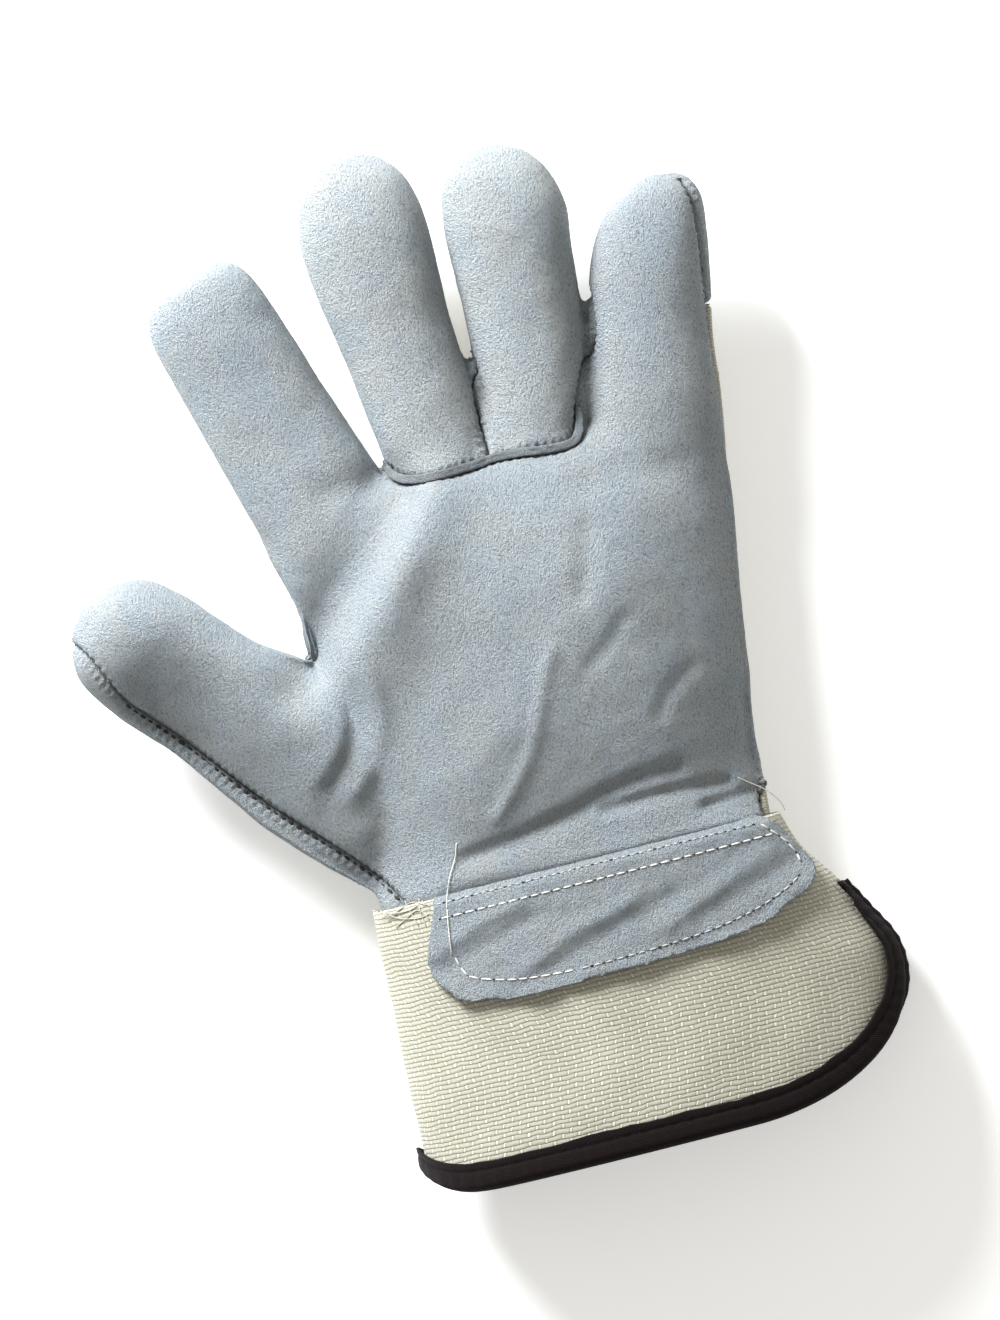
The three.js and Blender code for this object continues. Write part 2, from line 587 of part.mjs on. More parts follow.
// A point of the cuff. Round is the length from the nearer panel's edge at the split, share is how far it
// lies from the corner to the middle of the girth, and sign is 1 on the front panel and -1 on the back one.
function cuffPoint({ sign, round, share }, y, layer) {
  const section = cuffSection(y);
  const half = (section.girth - SPLIT_FRONT - SPLIT_BACK) / 2;
  const fromEdge = round + (share === undefined ? 0 : THREE.MathUtils.lerp(CORNER_WIDTH, half, share));
  const length = sign > 0 ? SPLIT_FRONT + fromEdge : section.girth - SPLIT_BACK - fromEdge;
  const point = sectionPoint(HAND, section.row, y, turnAt(section, length), layer);
  point.z = Math.max(point.z, floorAt(y) - layer);
  return point;
}

// Height of the hem, which rises a little at the folded side
function hemAt({ sign, round, share }) {
  if (share === undefined) {
    const turn = Math.acos(THREE.MathUtils.clamp(1 - round / CORNER_WIDTH, 0, 1));
    return -CORNER_START - (CUFF_LENGTH - CORNER_START) * Math.sin(turn);
  }
  const section = cuffSection(-CUFF_LENGTH);
  const half = (section.girth - SPLIT_FRONT - SPLIT_BACK) / 2;
  const foldLength = turnLength(section, Math.PI) - SPLIT_FRONT;
  const fromEdge = THREE.MathUtils.lerp(CORNER_WIDTH, half, share);
  const length = sign > 0 ? fromEdge : 2 * half - fromEdge;
  const distance = (length - foldLength) / FOLD_REACH;
  return -CUFF_LENGTH + FOLD_RISE * Math.exp(-distance * distance);
}

const turnLength = ({ lengths }, turn) => lengths[Math.round((turn / (2 * Math.PI)) * SECTION_SAMPLES)];

// Stops round the cuff's edge, from the front panel's edge at the split to the back panel's, each with the
// column of the cuff that ends there and the way from the edge into the canvas
function edgeStops() {
  const corner = (sign) =>
    Array.from({ length: CORNER_STEPS }, (_, i) => {
      const turn = (Math.PI / 2) * (i / CORNER_STEPS);
      const column = { sign, round: CORNER_WIDTH * (1 - Math.cos(turn)) };
      return { column, y: hemAt(column), inward: [Math.cos(turn), Math.sin(turn)] };
    });
  const middle = (sign, count) =>
    Array.from({ length: count }, (_, i) => {
      const column = { sign, round: 0, share: (2 * i) / GIRTH_STEPS };
      return { column, y: hemAt(column), inward: [0, 1] };
    });
  const half = GIRTH_STEPS / 2;
  return [...corner(1), ...middle(1, half + 1), ...middle(-1, half).reverse(), ...corner(-1).reverse()];
}

// The same place of the cuff's pattern, moved inwards from the edge
function movedIn({ column, y, inward }, distance) {
  const moved = { ...column, round: column.round + distance * inward[0] };
  return { column: moved, y: y + distance * inward[1] };
}

// The cuff's canvas, or the space round it that other pieces keep clear of
function cuffSolid(clearance) {
  const stops = edgeStops().map((stop) => movedIn(stop, -clearance));
  const rowCount = CUFF_STEPS + 1;
  const heightOf = (bottom, row) => {
    if (row <= SPLIT_ROW) return THREE.MathUtils.lerp(clearance, -SPLIT_START, row / SPLIT_ROW);
    return THREE.MathUtils.lerp(-SPLIT_START, bottom, (row - SPLIT_ROW) / (CUFF_STEPS - SPLIT_ROW));
  };
  const surface = (layer) =>
    stops.flatMap(({ column, y }) =>
      Array.from({ length: rowCount }, (_, row) => cuffPoint(column, heightOf(y, row), layer)),
    );
  const quads = [];
  for (let i = 0; i < stops.length; i += 1) {
    const next = (i + 1) % stops.length;
    const rows = next === 0 ? SPLIT_ROW : CUFF_STEPS;
    for (let row = 0; row < rows; row += 1) {
      const [here, there] = [i * rowCount + row, next * rowCount + row];
      quads.push([here, there, there + 1, here + 1]);
    }
  }
  return wallOf(surface(CUFF_OUTER + clearance), surface(CUFF_INNER - clearance), quads);
}

// Tape folded over the edge of both panels and the hem
function bindingSolid() {
  const besideSplit = (sign) =>
    BESIDE_SPLIT.map((share) => ({
      column: { sign, round: 0 },
      y: THREE.MathUtils.lerp(-SPLIT_START, -CORNER_START, share),
      inward: [1, 0],
    }));
  const path = [...besideSplit(1), ...edgeStops(), ...besideSplit(-1).reverse()];
  const corners = [
    { reach: BINDING_WIDTH, layer: TAPE_OUTER },
    { reach: -TAPE_EASE - TAPE, layer: TAPE_OUTER },
    { reach: -TAPE_EASE - TAPE, layer: TAPE_INNER },
    { reach: BINDING_WIDTH, layer: TAPE_INNER },
  ];
  const rings = path.map((stop) =>
    corners.map(({ reach, layer }) => {
      const { column, y } = movedIn(stop, reach);
      return cuffPoint(column, y, layer);
    }),
  );
  return skinOver(rings, middleOf(rings[0]), middleOf(rings.at(-1))).subtract(cuffSolid(TAPE_EASE));
}

// Leather patch over the front of the cuff's top, with rounded lower corners and its top edge turned down
// to the palm
function patchSolid() {
  const middle = acrossHand(PATCH_RIGHT - PATCH_LEFT) / 2;
  const half = acrossHand(PATCH_RIGHT + PATCH_LEFT) / 2;
  const columnAt = (_, i) => -Math.cos((Math.PI * i) / PATCH_STEPS);
  const columns = Array.from({ length: PATCH_STEPS + 1 }, columnAt);
  const rows = 4;
  const bottomAt = (column) => {
    const fromEnd = Math.min(half * (1 - Math.abs(column)), PATCH_CORNER);
    const turn = Math.acos(1 - fromEnd / PATCH_CORNER);
    return -PATCH_HEIGHT + PATCH_CORNER * (1 - Math.sin(turn));
  };
  const surface = (layer) =>
    columns.flatMap((column) =>
      Array.from({ length: rows + 1 }, (_, row) => {
        const y = THREE.MathUtils.lerp(PATCH_TUCK, bottomAt(column), row / rows);
        const section = rowAt(CUFF_ROWS, THREE.MathUtils.clamp(-y / CUFF_LENGTH, 0, 1));
        const left = (section.left * HAND.width) / 2;
        const right = (section.right * HAND.width) / 2;
        const across = (middle + half * column - (right - left) / 2) / ((left + right) / 2);
        const cosine = Math.sign(across) * Math.abs(across) ** (TOP_POWER / 2);
        const turn = Math.acos(THREE.MathUtils.clamp(cosine, -1, 1));
        return sectionPoint(HAND, section, y, turn, layer);
      }),
    );
  const quads = [];
  for (let i = 0; i < PATCH_STEPS; i += 1) {
    for (let row = 0; row < rows; row += 1) {
      const here = i * (rows + 1) + row;
      quads.push([here, here + 1, here + rows + 2, here + rows + 1]);
    }
  }
  const slab = wallOf(surface(CUFF_OUTER + GAP + LEATHER), surface(CUFF_INNER + GAP), quads);
  return slab.subtract(cuffSolid(GAP)).subtract(bodyForm(GAP));
}

const suede = { roughness: 0.95, metalness: 0 };
const palmSuede = new THREE.MeshStandardMaterial({ ...suede, color: 0x9fb0ba });
const fingerSuede = new THREE.MeshStandardMaterial({ ...suede, color: 0xb5bfc3 });
const cutEdge = new THREE.MeshStandardMaterial({ ...suede, color: 0x4a3f3c });
const canvas = new THREE.MeshStandardMaterial({ color: 0xd2cdb9, roughness: 0.98, metalness: 0 });
const tape = new THREE.MeshStandardMaterial({ color: 0x1d1212, roughness: 0.8, metalness: 0 });

const group = new THREE.Group();

function add(name, solid, material) {
  const mesh = new THREE.Mesh(geometryOf(solid), material);
  mesh.name = name;
  group.add(mesh);
}

add("palm_leather", palmLeather, palmSuede);
add("middle_finger_front", middleFront, fingerSuede);
add("ring_finger_front", ringFront, fingerSuede);
add("finger_base_welt", welt, cutEdge);
add("thumb_back", thumbBack, palmSuede);
for (const { name, solid } of tipBacks) add(name, solid, palmSuede);
add("canvas_back", canvasBack, canvas);
add("cuff", cuffSolid(0), canvas);
add("cuff_binding", largest(bindingSolid()), tape);
add("wrist_patch", largest(patchSolid()), palmSuede);

// The origin goes to the floor under the middle of the whole glove's box
const box = new THREE.Box3().setFromObject(group);
const middle = box.getCenter(new THREE.Vector3());
group.position.set(-middle.x, -middle.y, -box.min.z);
group.updateMatrixWorld(true);

export default group;
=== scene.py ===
"""Rigger glove: the finished looks of a left-hand split-leather work glove that lies on its back.

Laid out as a Blender add-on, with one operator for each piece or group of like pieces and one for the stage.
Shapes are worked out in millimetres on the glove's own plan: +Y to the fingertips, -X to the thumb, +Z up off
the floor, from the middle of the wrist seam. A finished piece is moved from there into the frame, in metres.
"""

import math
from collections import namedtuple

import bmesh
import bpy
import numpy as np
from bpy.props import FloatProperty, FloatVectorProperty, PointerProperty
from mathutils import Matrix, Vector, kdtree, noise
from mathutils.bvhtree import BVHTree


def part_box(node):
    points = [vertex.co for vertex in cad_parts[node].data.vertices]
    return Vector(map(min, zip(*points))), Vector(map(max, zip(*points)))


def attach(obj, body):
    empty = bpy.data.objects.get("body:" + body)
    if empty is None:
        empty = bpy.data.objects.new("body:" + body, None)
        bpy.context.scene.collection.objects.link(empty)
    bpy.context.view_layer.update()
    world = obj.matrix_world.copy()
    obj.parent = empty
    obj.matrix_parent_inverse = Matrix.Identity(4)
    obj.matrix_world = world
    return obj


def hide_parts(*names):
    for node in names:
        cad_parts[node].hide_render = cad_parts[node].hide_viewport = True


bl_info = {
    "name": "Rigger glove",
    "version": (1, 0, 0),
    "blender": (4, 5, 0),
    "location": "3D View > Sidebar > Glove",
    "description": "Split-leather work glove with a canvas safety cuff",
    "category": "Object",
}

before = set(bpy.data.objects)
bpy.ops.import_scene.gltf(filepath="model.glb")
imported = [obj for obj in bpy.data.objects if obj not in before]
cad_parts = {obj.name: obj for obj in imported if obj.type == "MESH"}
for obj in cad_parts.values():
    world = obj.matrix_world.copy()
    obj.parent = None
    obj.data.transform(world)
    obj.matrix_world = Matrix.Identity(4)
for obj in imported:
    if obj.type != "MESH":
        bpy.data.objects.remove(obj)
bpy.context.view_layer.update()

MM = 0.001
BODY = "root"

# The plan's own origin in the frame: the middle of the wrist seam, which is the cuff's top edge
WRIST_MIDDLE = 0.01912
WRIST = Vector((WRIST_MIDDLE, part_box("cuff")[1][1], 0))
TO_FRAME = Matrix.Translation(WRIST) @ Matrix.Scale(MM, 4)


def linear(code):
    """An sRGB hex colour as linear red, green, blue and alpha."""
    channels = [int(code[i : i + 2], 16) / 255 for i in (1, 3, 5)]
    return [c / 12.92 if c <= 0.04045 else ((c + 0.055) / 1.055) ** 2.4 for c in channels] + [1.0]


def length(name, description, millimetres):
    """A length property, given in millimetres and held in metres."""
    return FloatProperty(
        name=name, description=description, default=millimetres * MM, unit="LENGTH", precision=5
    )


def colour(name, description, code):
    """A colour property, given as an sRGB hex code."""
    return FloatVectorProperty(
        name=name, description=description, default=linear(code), size=4, min=0, max=1, subtype="COLOR"
    )


class GloveLeather(bpy.types.PropertyGroup):
    """Split leather of the palm, fingers, thumb and wrist patch."""

    thickness: length("Thickness", "Thickness of the split leather", 1.5)
    roll: length("Seam roll", "Depth to which a sewn edge rolls into its seam", 2.3)
    pitch: length("Seam stitch", "Distance between the puckers of a sewn edge", 2.4)
    pucker: length("Pucker", "Depth of the puckers along a sewn edge", 0.55)
    nap: length("Nap", "Width of the tufts of the suede's nap", 0.9)
    palm: colour("Palm", "Blue-grey leather of palm, thumb, index and little finger", "#A8B1B7")
    fingers: colour("Fingers", "Lighter leather of the two middle fingers", "#B6BDC0")
    patch: colour("Patch", "Leather of the wrist patch", "#A5AEB4")
    welt: colour("Welt", "Cut edge of the leather strip in the finger base seam", "#737C82")
    # Painted shade: the colour given to the nap's low places between the tufts
    shade: colour("Shade", "Leather between the tufts", "#5E666B")


class GloveCanvas(bpy.types.PropertyGroup):
    """Cotton canvas of the cuff and the back, and the tape round the cuff."""

    thickness: length("Thickness", "Thickness of the cuff's canvas", 1.3)
    warp: length("Warp spacing", "Distance between the thin yarns that run along the glove", 2.2)
    weft: length("Weft spacing", "Distance between the thick yarns that run across the glove", 1.22)
    natural: colour("Canvas", "Unbleached cotton canvas", "#AFAC9C")
    # Painted shade: the colour given to the low places between the canvas's yarns
    hollow: colour("Canvas shade", "Canvas between its yarns", "#7C7969")
    binding: colour("Tape", "Dark brown cotton tape", "#120A0B")


class GloveThread(bpy.types.PropertyGroup):
    """Sewing thread."""

    diameter: length("Diameter", "Thickness of the sewing thread", 0.46)
    stitch: length("Stitch", "Length of one stitch with its hole", 3.0)
    white: colour("White thread", "Cotton thread of the wrist patch", "#D9D6CC")
    rubbed: colour("Rubbed thread", "The same thread, grey with dust from the leather", "#A8ADAE")
    # Painted shade: the colour of the blobs that stand for the stitch holes
    hole_shade: colour("Dark thread", "Thread seen deep in its holes", "#2A2624")


class GloveStage(bpy.types.PropertyGroup):
    """Floor, lights and camera."""

    distance: FloatProperty(
        name="Camera distance", description="From the lens to the glove", default=2.2, unit="LENGTH"
    )
    view_height: length("View height", "Height of what the camera sees at the glove", 349.8)
    roll: FloatProperty(
        name="Camera roll",
        description="Turn of the camera about its own axis",
        default=math.radians(-14),
        unit="ROTATION",
    )
    key: FloatProperty(
        name="Key light", description="Power of the soft light at the upper left, in watts", default=27.5
    )
    fill: FloatProperty(name="Fill light", description="Strength of the light from all round", default=0.52)
    floor: colour("Floor", "Pale matt floor", "#FBFBFA")
    glow: FloatProperty(name="Glow", description="Light through the floor from below", default=0.3)


# Walls and layers of the wrist, outwards from the hand's sections
LEATHER_WALL = 1.6
CUFF_INNER = 0.9
CUFF_OUTER = 2.3
TAPE_OUTER = 3.7
TAPE_INNER = -0.5

# Sections around a form are superellipses: a power of 2 is an ellipse, more is squarer
TOP_POWER = 2.2
BOTTOM_POWER = 2.8

# A form starts at a point of the plan and runs at an angle from +Y, positive to the little finger's side.
# Crown and belly are its depths above and below its widest line, lift is how far the tip curls up, and roll
# turns the plane of its side seam at the tip. A section is in shares of them.
Form = namedtuple("Form", "x y angle length width crown belly lift roll sections")
Section = namedtuple("Section", "along left right top bottom lift")

HAND = Form(0, 0, 0, 111, 114, 24, 20, 0, 0, [
    Section(-0.08, 0.945, 0.91, 0.74, 0.81, 0),
    Section(0, 0.945, 0.92, 0.75, 0.81, 0),
    Section(0.1, 0.95, 0.93, 0.85, 0.88, 0),
    Section(0.22, 0.955, 0.945, 0.94, 1, 0),
    Section(0.4, 0.96, 1, 1, 1, 0),
    Section(0.6, 0.965, 1.06, 1, 1, 0),
    Section(0.75, 0.995, 1.1, 0.93, 1, 0),
    Section(0.87, 1.05, 1.13, 0.79, 0.98, 0),
    Section(0.95, 1.07, 1.14, 0.62, 0.85, 0),
    Section(1, 1.05, 1.11, 0.36, 0.55, 0),
])
INDEX = Form(-38, 91, -17.5, 88, 34, 13.5, 15, 5, 0, [
    Section(0, 1.08, 1.08, 1.05, 1, 0),
    Section(0.34, 1.04, 1.04, 1, 1, 0.1),
    Section(0.6, 1.01, 1.01, 0.98, 0.96, 0.4),
    Section(0.8, 0.97, 0.99, 0.95, 0.9, 0.75),
    Section(0.9, 0.9, 0.95, 0.87, 0.8, 0.9),
    Section(0.96, 0.74, 0.84, 0.7, 0.62, 1),
    Section(0.99, 0.45, 0.62, 0.42, 0.38, 1),
])
MIDDLE = Form(-7.5, 90, -4.8, 108, 34, 14, 15, 6, 0, [
    Section(0, 0.8, 0.8, 0.95, 1, 0),
    Section(0.19, 0.83, 0.83, 0.95, 1, 0),
    Section(0.33, 0.88, 0.83, 1, 1, 0.15),
    Section(0.52, 0.94, 0.84, 1.02, 0.98, 0.4),
    Section(0.7, 1.04, 0.93, 1.04, 0.95, 0.7),
    Section(0.82, 1.02, 0.96, 0.98, 0.88, 0.9),
    Section(0.91, 0.83, 0.83, 0.8, 0.7, 1),
    Section(0.97, 0.5, 0.52, 0.5, 0.42, 1),
])
RING = Form(16, 90, 4.3, 100.5, 33, 13.5, 15, 6, 0, [
    Section(0, 0.74, 0.74, 0.95, 1, 0),
    Section(0.2, 0.77, 0.75, 0.95, 1, 0),
    Section(0.33, 0.79, 0.91, 1, 1, 0.15),
    Section(0.52, 0.89, 0.96, 1.02, 0.98, 0.4),
    Section(0.7, 0.95, 1.0, 1.05, 0.95, 0.7),
    Section(0.81, 0.97, 1.03, 1, 0.88, 0.9),
    Section(0.91, 0.88, 0.83, 0.8, 0.7, 1),
    Section(0.97, 0.58, 0.52, 0.5, 0.42, 1),
])
LITTLE = Form(43.5, 90, 12.4, 85, 32, 13, 15, 5, 41, [
    Section(0, 1.05, 1.2, 1.1, 1, 0),
    Section(0.24, 1.09, 1.17, 1.04, 1, 0.1),
    Section(0.45, 1.03, 1.05, 1.0, 0.98, 0.3),
    Section(0.72, 0.97, 1.0, 0.98, 0.94, 0.7),
    Section(0.85, 0.78, 0.95, 0.88, 0.82, 0.9),
    Section(0.93, 0.45, 0.86, 0.72, 0.64, 1),
    Section(0.98, 0.08, 0.66, 0.45, 0.4, 1),
])
THUMB = Form(-42.6, 21.2, -43, 102, 38, 17, 16, 7, 0, [
    Section(-0.07, 1.0, 0.6, 0.4, 0.6, 0),
    Section(0.06, 1.08, 0.95, 0.75, 0.9, 0),
    Section(0.19, 1.11, 1.1, 0.95, 1, 0),
    Section(0.33, 1.1, 1.2, 1.05, 1, 0.05),
    Section(0.46, 1.02, 1.14, 1.04, 1, 0.2),
    Section(0.58, 0.93, 1.0, 1, 0.98, 0.4),
    Section(0.7, 0.94, 1.0, 1, 0.95, 0.65),
    Section(0.83, 0.91, 0.98, 0.95, 0.88, 0.85),
    Section(0.92, 0.74, 0.84, 0.8, 0.72, 0.95),
    Section(0.98, 0.42, 0.5, 0.46, 0.4, 1),
])
# The leather of the two middle fingers is pressed together where they start
BETWEEN = Form(4, 98, 2, 30, 13, 12, 12, 0, 0, [
    Section(0, 1, 1, 1, 1, 0),
    Section(0.35, 1, 1, 1, 1, 0),
    Section(0.5, 0.95, 0.95, 0.88, 1, 0),
    Section(0.75, 0.85, 0.85, 0.6, 1, 0),
    Section(0.95, 0.6, 0.6, 0.3, 0.8, 0),
])
FINGERS = {"index": INDEX, "middle": MIDDLE, "ring": RING, "little": LITTLE}

SIDE_HEIGHT = 19  # of the glove's widest line above the floor
SEAM_DROP = 3  # from there down to the side seam
BARE_CANVAS = 9  # how far the leather stops short of the side at the little finger's end of the wrist
WRIST_RISE = 16  # length over which the hand's back rises to the cuff, which lies on its tape

# Ridges and creases of the front: a line on the plan, its height, and how far its flanks reach on its left
# and on its right, seen along the line
Fold = namedtuple("Fold", "height left right line")

FOLDS = {
    "crease from thumb to finger base": Fold(
        -6.5, 9, 5.5, [(-59, 64), (-52, 73), (-46, 80.5), (-37, 88), (-28, 98), (-23, 104)]
    ),
    "ridge beside it": Fold(3.6, 6, 10, [(-46, 65), (-36, 77), (-27, 87), (-18, 98), (-14, 104)]),
    "crease round the ball of the thumb": Fold(
        -2.8, 11, 2.6, [(-53, 71), (-49, 66), (-47.5, 58), (-48.5, 48), (-52, 41), (-57, 36)]
    ),
    "ridge beside the ball of the thumb": Fold(
        2, 3.6, 8, [(-44, 69), (-42, 62), (-41.5, 54), (-43, 46), (-47, 39), (-53, 33)]
    ),
    "fall to the thumb's seam": Fold(-7.5, 24, 7, [(-96, 61), (-73, 32), (-58, 14)]),
    "hollow beside the finger base": Fold(-1.4, 5, 5, [(-40, 110), (-26, 112)]),
    "swell beside the thumb": Fold(4.5, 22, 30, [(-46, 16), (-41, 40), (-30, 70), (-22, 86)]),
    "hollow of the palm": Fold(-2.4, 12, 20, [(-32, 44), (-25, 58), (-18, 76), (-9, 94)]),
    "hollow above the wrist": Fold(-1, 7, 20, [(-46, 14), (-40, 26), (-34, 38), (-29, 50)]),
    "long ridge of the palm": Fold(0.5, 7, 8, [(-28, 25), (-15, 36), (-1, 46), (11, 58), (28, 70)]),
    "fine ridge of the palm": Fold(0.8, 1.8, 2.2, [(-18, 17), (-9, 26), (-3, 35), (1, 46), (6, 56)]),
    "dent under the ring finger": Fold(-0.9, 3, 2.5, [(18, 68), (21, 76), (23, 85)]),
    "wrinkle of the palm": Fold(-0.6, 2.2, 2.2, [(16, 50), (22, 54), (27, 60)]),
    "wrinkle under the little finger": Fold(-0.7, 2.2, 2.2, [(30, 33), (34, 39), (41, 43)]),
    "hollow under the little finger": Fold(-0.9, 5, 5, [(26, 96), (36, 98), (46, 95)]),
    "crest of the thumb": Fold(2, 18, 6, [(-70, 66), (-80, 76), (-90, 86)]),
    "fall to the side": Fold(-3.4, 22, 8, [(56, 18), (60, 60), (62, 88)]),
    "fall to the wrist": Fold(-1.2, 18, 12, [(-40, 9), (-20, 10), (4, 12), (28, 15), (46, 15)]),
    "upper wrist crease": Fold(
        -1.6, 1.9, 2.8, [(-28, 8.5), (-20, 9.5), (-8, 11.5), (2, 13.5), (12, 16.5), (22, 18.5), (31, 18.5)]
    ),
    "lower wrist crease": Fold(-1.5, 1.6, 2, [(10, 12), (26, 13), (43, 11.5)]),
    "end of the wrist roll": Fold(-1.5, 1.5, 1.5, [(36, 6.5), (50, 7.5)]),
}
# The palm's leather swells over the top of the cuff and turns down into the seam of the patch
WRIST_ROLL = Fold(2, 7, 1.5, [(-38, 0.2), (-10, 0.6), (20, 0.8), (49, 0.4)])

# Seams, as lines on the plan
THUMB_SEAM = [
    (-130, 92), (-118, 89.5), (-113, 84.5), (-110, 77), (-106, 69), (-102, 65), (-94, 56), (-84, 43),
    (-74, 31), (-64, 21), (-54, 10), (-47, 0), (-45, -12),
]
THUMB_BACK_SEAM = [(-36.5, -22), (-36.5, 4.4), (-54, 62), (-52, 75.5), (-61.6, 85.5), (-114, 144)]
FINGER_BASE_SEAM = [
    (-24.5, 114.5), (-22.5, 110), (-17, 108), (-5, 107.8), (4, 109), (12, 108.6), (20, 107.3),
    (25.5, 107.8), (28, 110.5), (29, 117),
]
MIDDLE_FINGERS_RIGHT = [(31.5, 122.9), (37.5, 134.8), (41, 158.5), (53, 229.8)]
MIDDLE_FINGERS_LEFT = [(-40, 229.8), (-32, 158.5), (-29, 134.8), (-26.5, 122.9)]
FINGER_SPLIT = [(2.4, 90), (2.6, 112), (4.4, 130), (5.3, 145), (5.3, 240)]
# Where the leather backs of the fingertips start, in shares of the finger's length
TIP_BACKS = {"index": 0.62, "middle": 0.7, "ring": 0.68, "little": 0.58}

SAME_PLACE = 1e-4  # points nearer than this are one


def smoothstep(value, low, high):
    """0 below low, 1 above high, and a smooth rise between them."""
    t = np.clip((value - low) / (high - low), 0, 1)
    return t * t * (3 - 2 * t)


def between(rows, column, share):
    """A table's value at each share of the length, on a smooth curve through its rows."""
    along = np.array([row.along for row in rows], float)
    values = np.array([getattr(row, column) for row in rows], float)
    index = np.arange(len(rows))
    up, down = np.minimum(index + 1, len(rows) - 1), np.maximum(index - 1, 0)
    slopes = (values[up] - values[down]) / (along[up] - along[down])
    low = np.clip(np.searchsorted(along, share, side="right") - 1, 0, len(rows) - 2)
    span = along[low + 1] - along[low]
    t = np.clip((share - along[low]) / span, 0, 1)
    return (
        (2 * t**3 - 3 * t**2 + 1) * values[low]
        + (t**3 - 2 * t**2 + t) * span * slopes[low]
        + (3 * t**2 - 2 * t**3) * values[low + 1]
        + (t**3 - t**2) * span * slopes[low + 1]
    )


def powered(value, power):
    """A sine or cosine bent to a superellipse's."""
    return np.sign(value) * np.abs(value) ** (2 / power)


def floor_at(y):
    """Height of the flattened underside along the glove."""
    return TAPE_OUTER * (1 - smoothstep(y, 0, WRIST_RISE))


def round_form(form, left, right, top, bottom, side, along, turn, layer=0.0):
    """Points of a form's sections at turns about their middles, grown outwards by a layer."""
    left, right = left * form.width / 2 + layer, right * form.width / 2 + layer
    cosine, sine = np.cos(turn), np.sin(turn)
    power = np.where(sine > 0, TOP_POWER, BOTTOM_POWER)
    across = (right - left) / 2 + (left + right) / 2 * powered(cosine, power)
    share = (across + left) / (left + right)
    depth = np.where(sine > 0, form.crown * top, form.belly * bottom) + layer
    angle = math.radians(form.angle)
    x = form.x + along * math.sin(angle) + across * math.cos(angle)
    y = form.y + along * math.cos(angle) - across * math.sin(angle)
    z = SIDE_HEIGHT * (1 - share * (1 - side)) + depth * powered(sine, power)
    return np.stack([x, y, z], axis=-1)


def skin(bm, points, closed=False, cloth=None):
    """Moves a grid of quads onto points[row][column]; a closed one joins its last column to its first.

    Cloth gives each point its place among the yarns, in millimetres, which goes to the weave attribute.
    """
    if closed:
        points = np.concatenate([points, points[:, :1]], axis=1)
    rows, columns = points.shape[:2]
    weave = bm.verts.layers.float_vector.get("weave") or bm.verts.layers.float_vector.new("weave")
    made = bmesh.ops.create_grid(bm, x_segments=columns - 1, y_segments=rows - 1, size=0.5)["verts"]
    for vert in made:
        column = round((vert.co.x + 0.5) * (columns - 1))
        row = round((vert.co.y + 0.5) * (rows - 1))
        vert.co = points[row, column]
        if cloth is not None:
            vert[weave] = (*cloth[row, column], 0)
    if closed:
        bmesh.ops.remove_doubles(bm, verts=made, dist=SAME_PLACE)


FORM_RINGS = 70
FORM_POINTS = 96


def form_points(form):
    """A form's surface as rings of points, with the last ring drawn together at the tip."""
    rows = form.sections
    share = np.linspace(rows[0].along, rows[-1].along, FORM_RINGS)[:, None]
    turn = np.linspace(0, 2 * math.pi, FORM_POINTS, endpoint=False)[None, :]
    left, right, top, bottom, lift = [between(rows, column, share) for column in Section._fields[1:]]
    points = round_form(form, left, right, top, bottom, 1, share * form.length, turn)
    points[..., 2] = np.maximum(points[..., 2] + form.lift * lift, floor_at(points[..., 1]))
    angle = math.radians(form.angle)
    last = rows[-1]
    off_axis = (last.right - last.left) * form.width / 4
    tip = np.array([
        form.x + form.length * math.sin(angle) + off_axis * math.cos(angle),
        form.y + form.length * math.cos(angle) - off_axis * math.sin(angle),
        points[-1, :, 2].mean(),
    ])
    return np.concatenate([points, np.broadcast_to(tip, (1, FORM_POINTS, 3))])


def coordinates(bm):
    """The mesh's points as rows of x, y and z."""
    return np.array([vert.co for vert in bm.verts], float)


def line_distance(points, line):
    """Signed distance on the plan to a line, positive on its right, and how far along it the point is."""
    plan = points[:, :2]
    best = np.full(len(plan), np.inf)
    signed = np.zeros(len(plan))
    along = np.zeros(len(plan))
    done = 0.0
    for start, end in zip(np.array(line[:-1], float), np.array(line[1:], float)):
        run = end - start
        size = float(np.hypot(*run))
        offset = plan - start
        t = np.clip(offset @ run / size**2, 0, 1)
        distance = np.hypot(*(offset - t[:, None] * run).T)
        side = np.sign(run[1] * offset[:, 0] - run[0] * offset[:, 1])
        nearer = distance < best - 1e-9
        signed = np.where(nearer, distance * np.where(side == 0, 1, side), signed)
        along = np.where(nearer, done + t * size, along)
        best = np.where(nearer, distance, best)
        done += size
    return signed, along


CORNER_CUTS = 3


def smooth_line(line, step=1.0):
    """A line between the same ends with its corners cut round, in even steps."""
    points = np.array(line, float)
    for _ in range(CORNER_CUTS):
        first, second = points[:-1], points[1:]
        cut = np.stack([first * 0.75 + second * 0.25, first * 0.25 + second * 0.75], axis=1)
        points = np.concatenate([points[:1], cut.reshape(-1, points.shape[1]), points[-1:]])
    runs = np.concatenate([[0], np.cumsum(np.linalg.norm(np.diff(points, axis=0), axis=1))])
    places = np.linspace(0, runs[-1], max(2, round(runs[-1] / step) + 1))
    return np.stack([np.interp(places, runs, column) for column in points.T], axis=1)


FOLD_STEP = 3.0


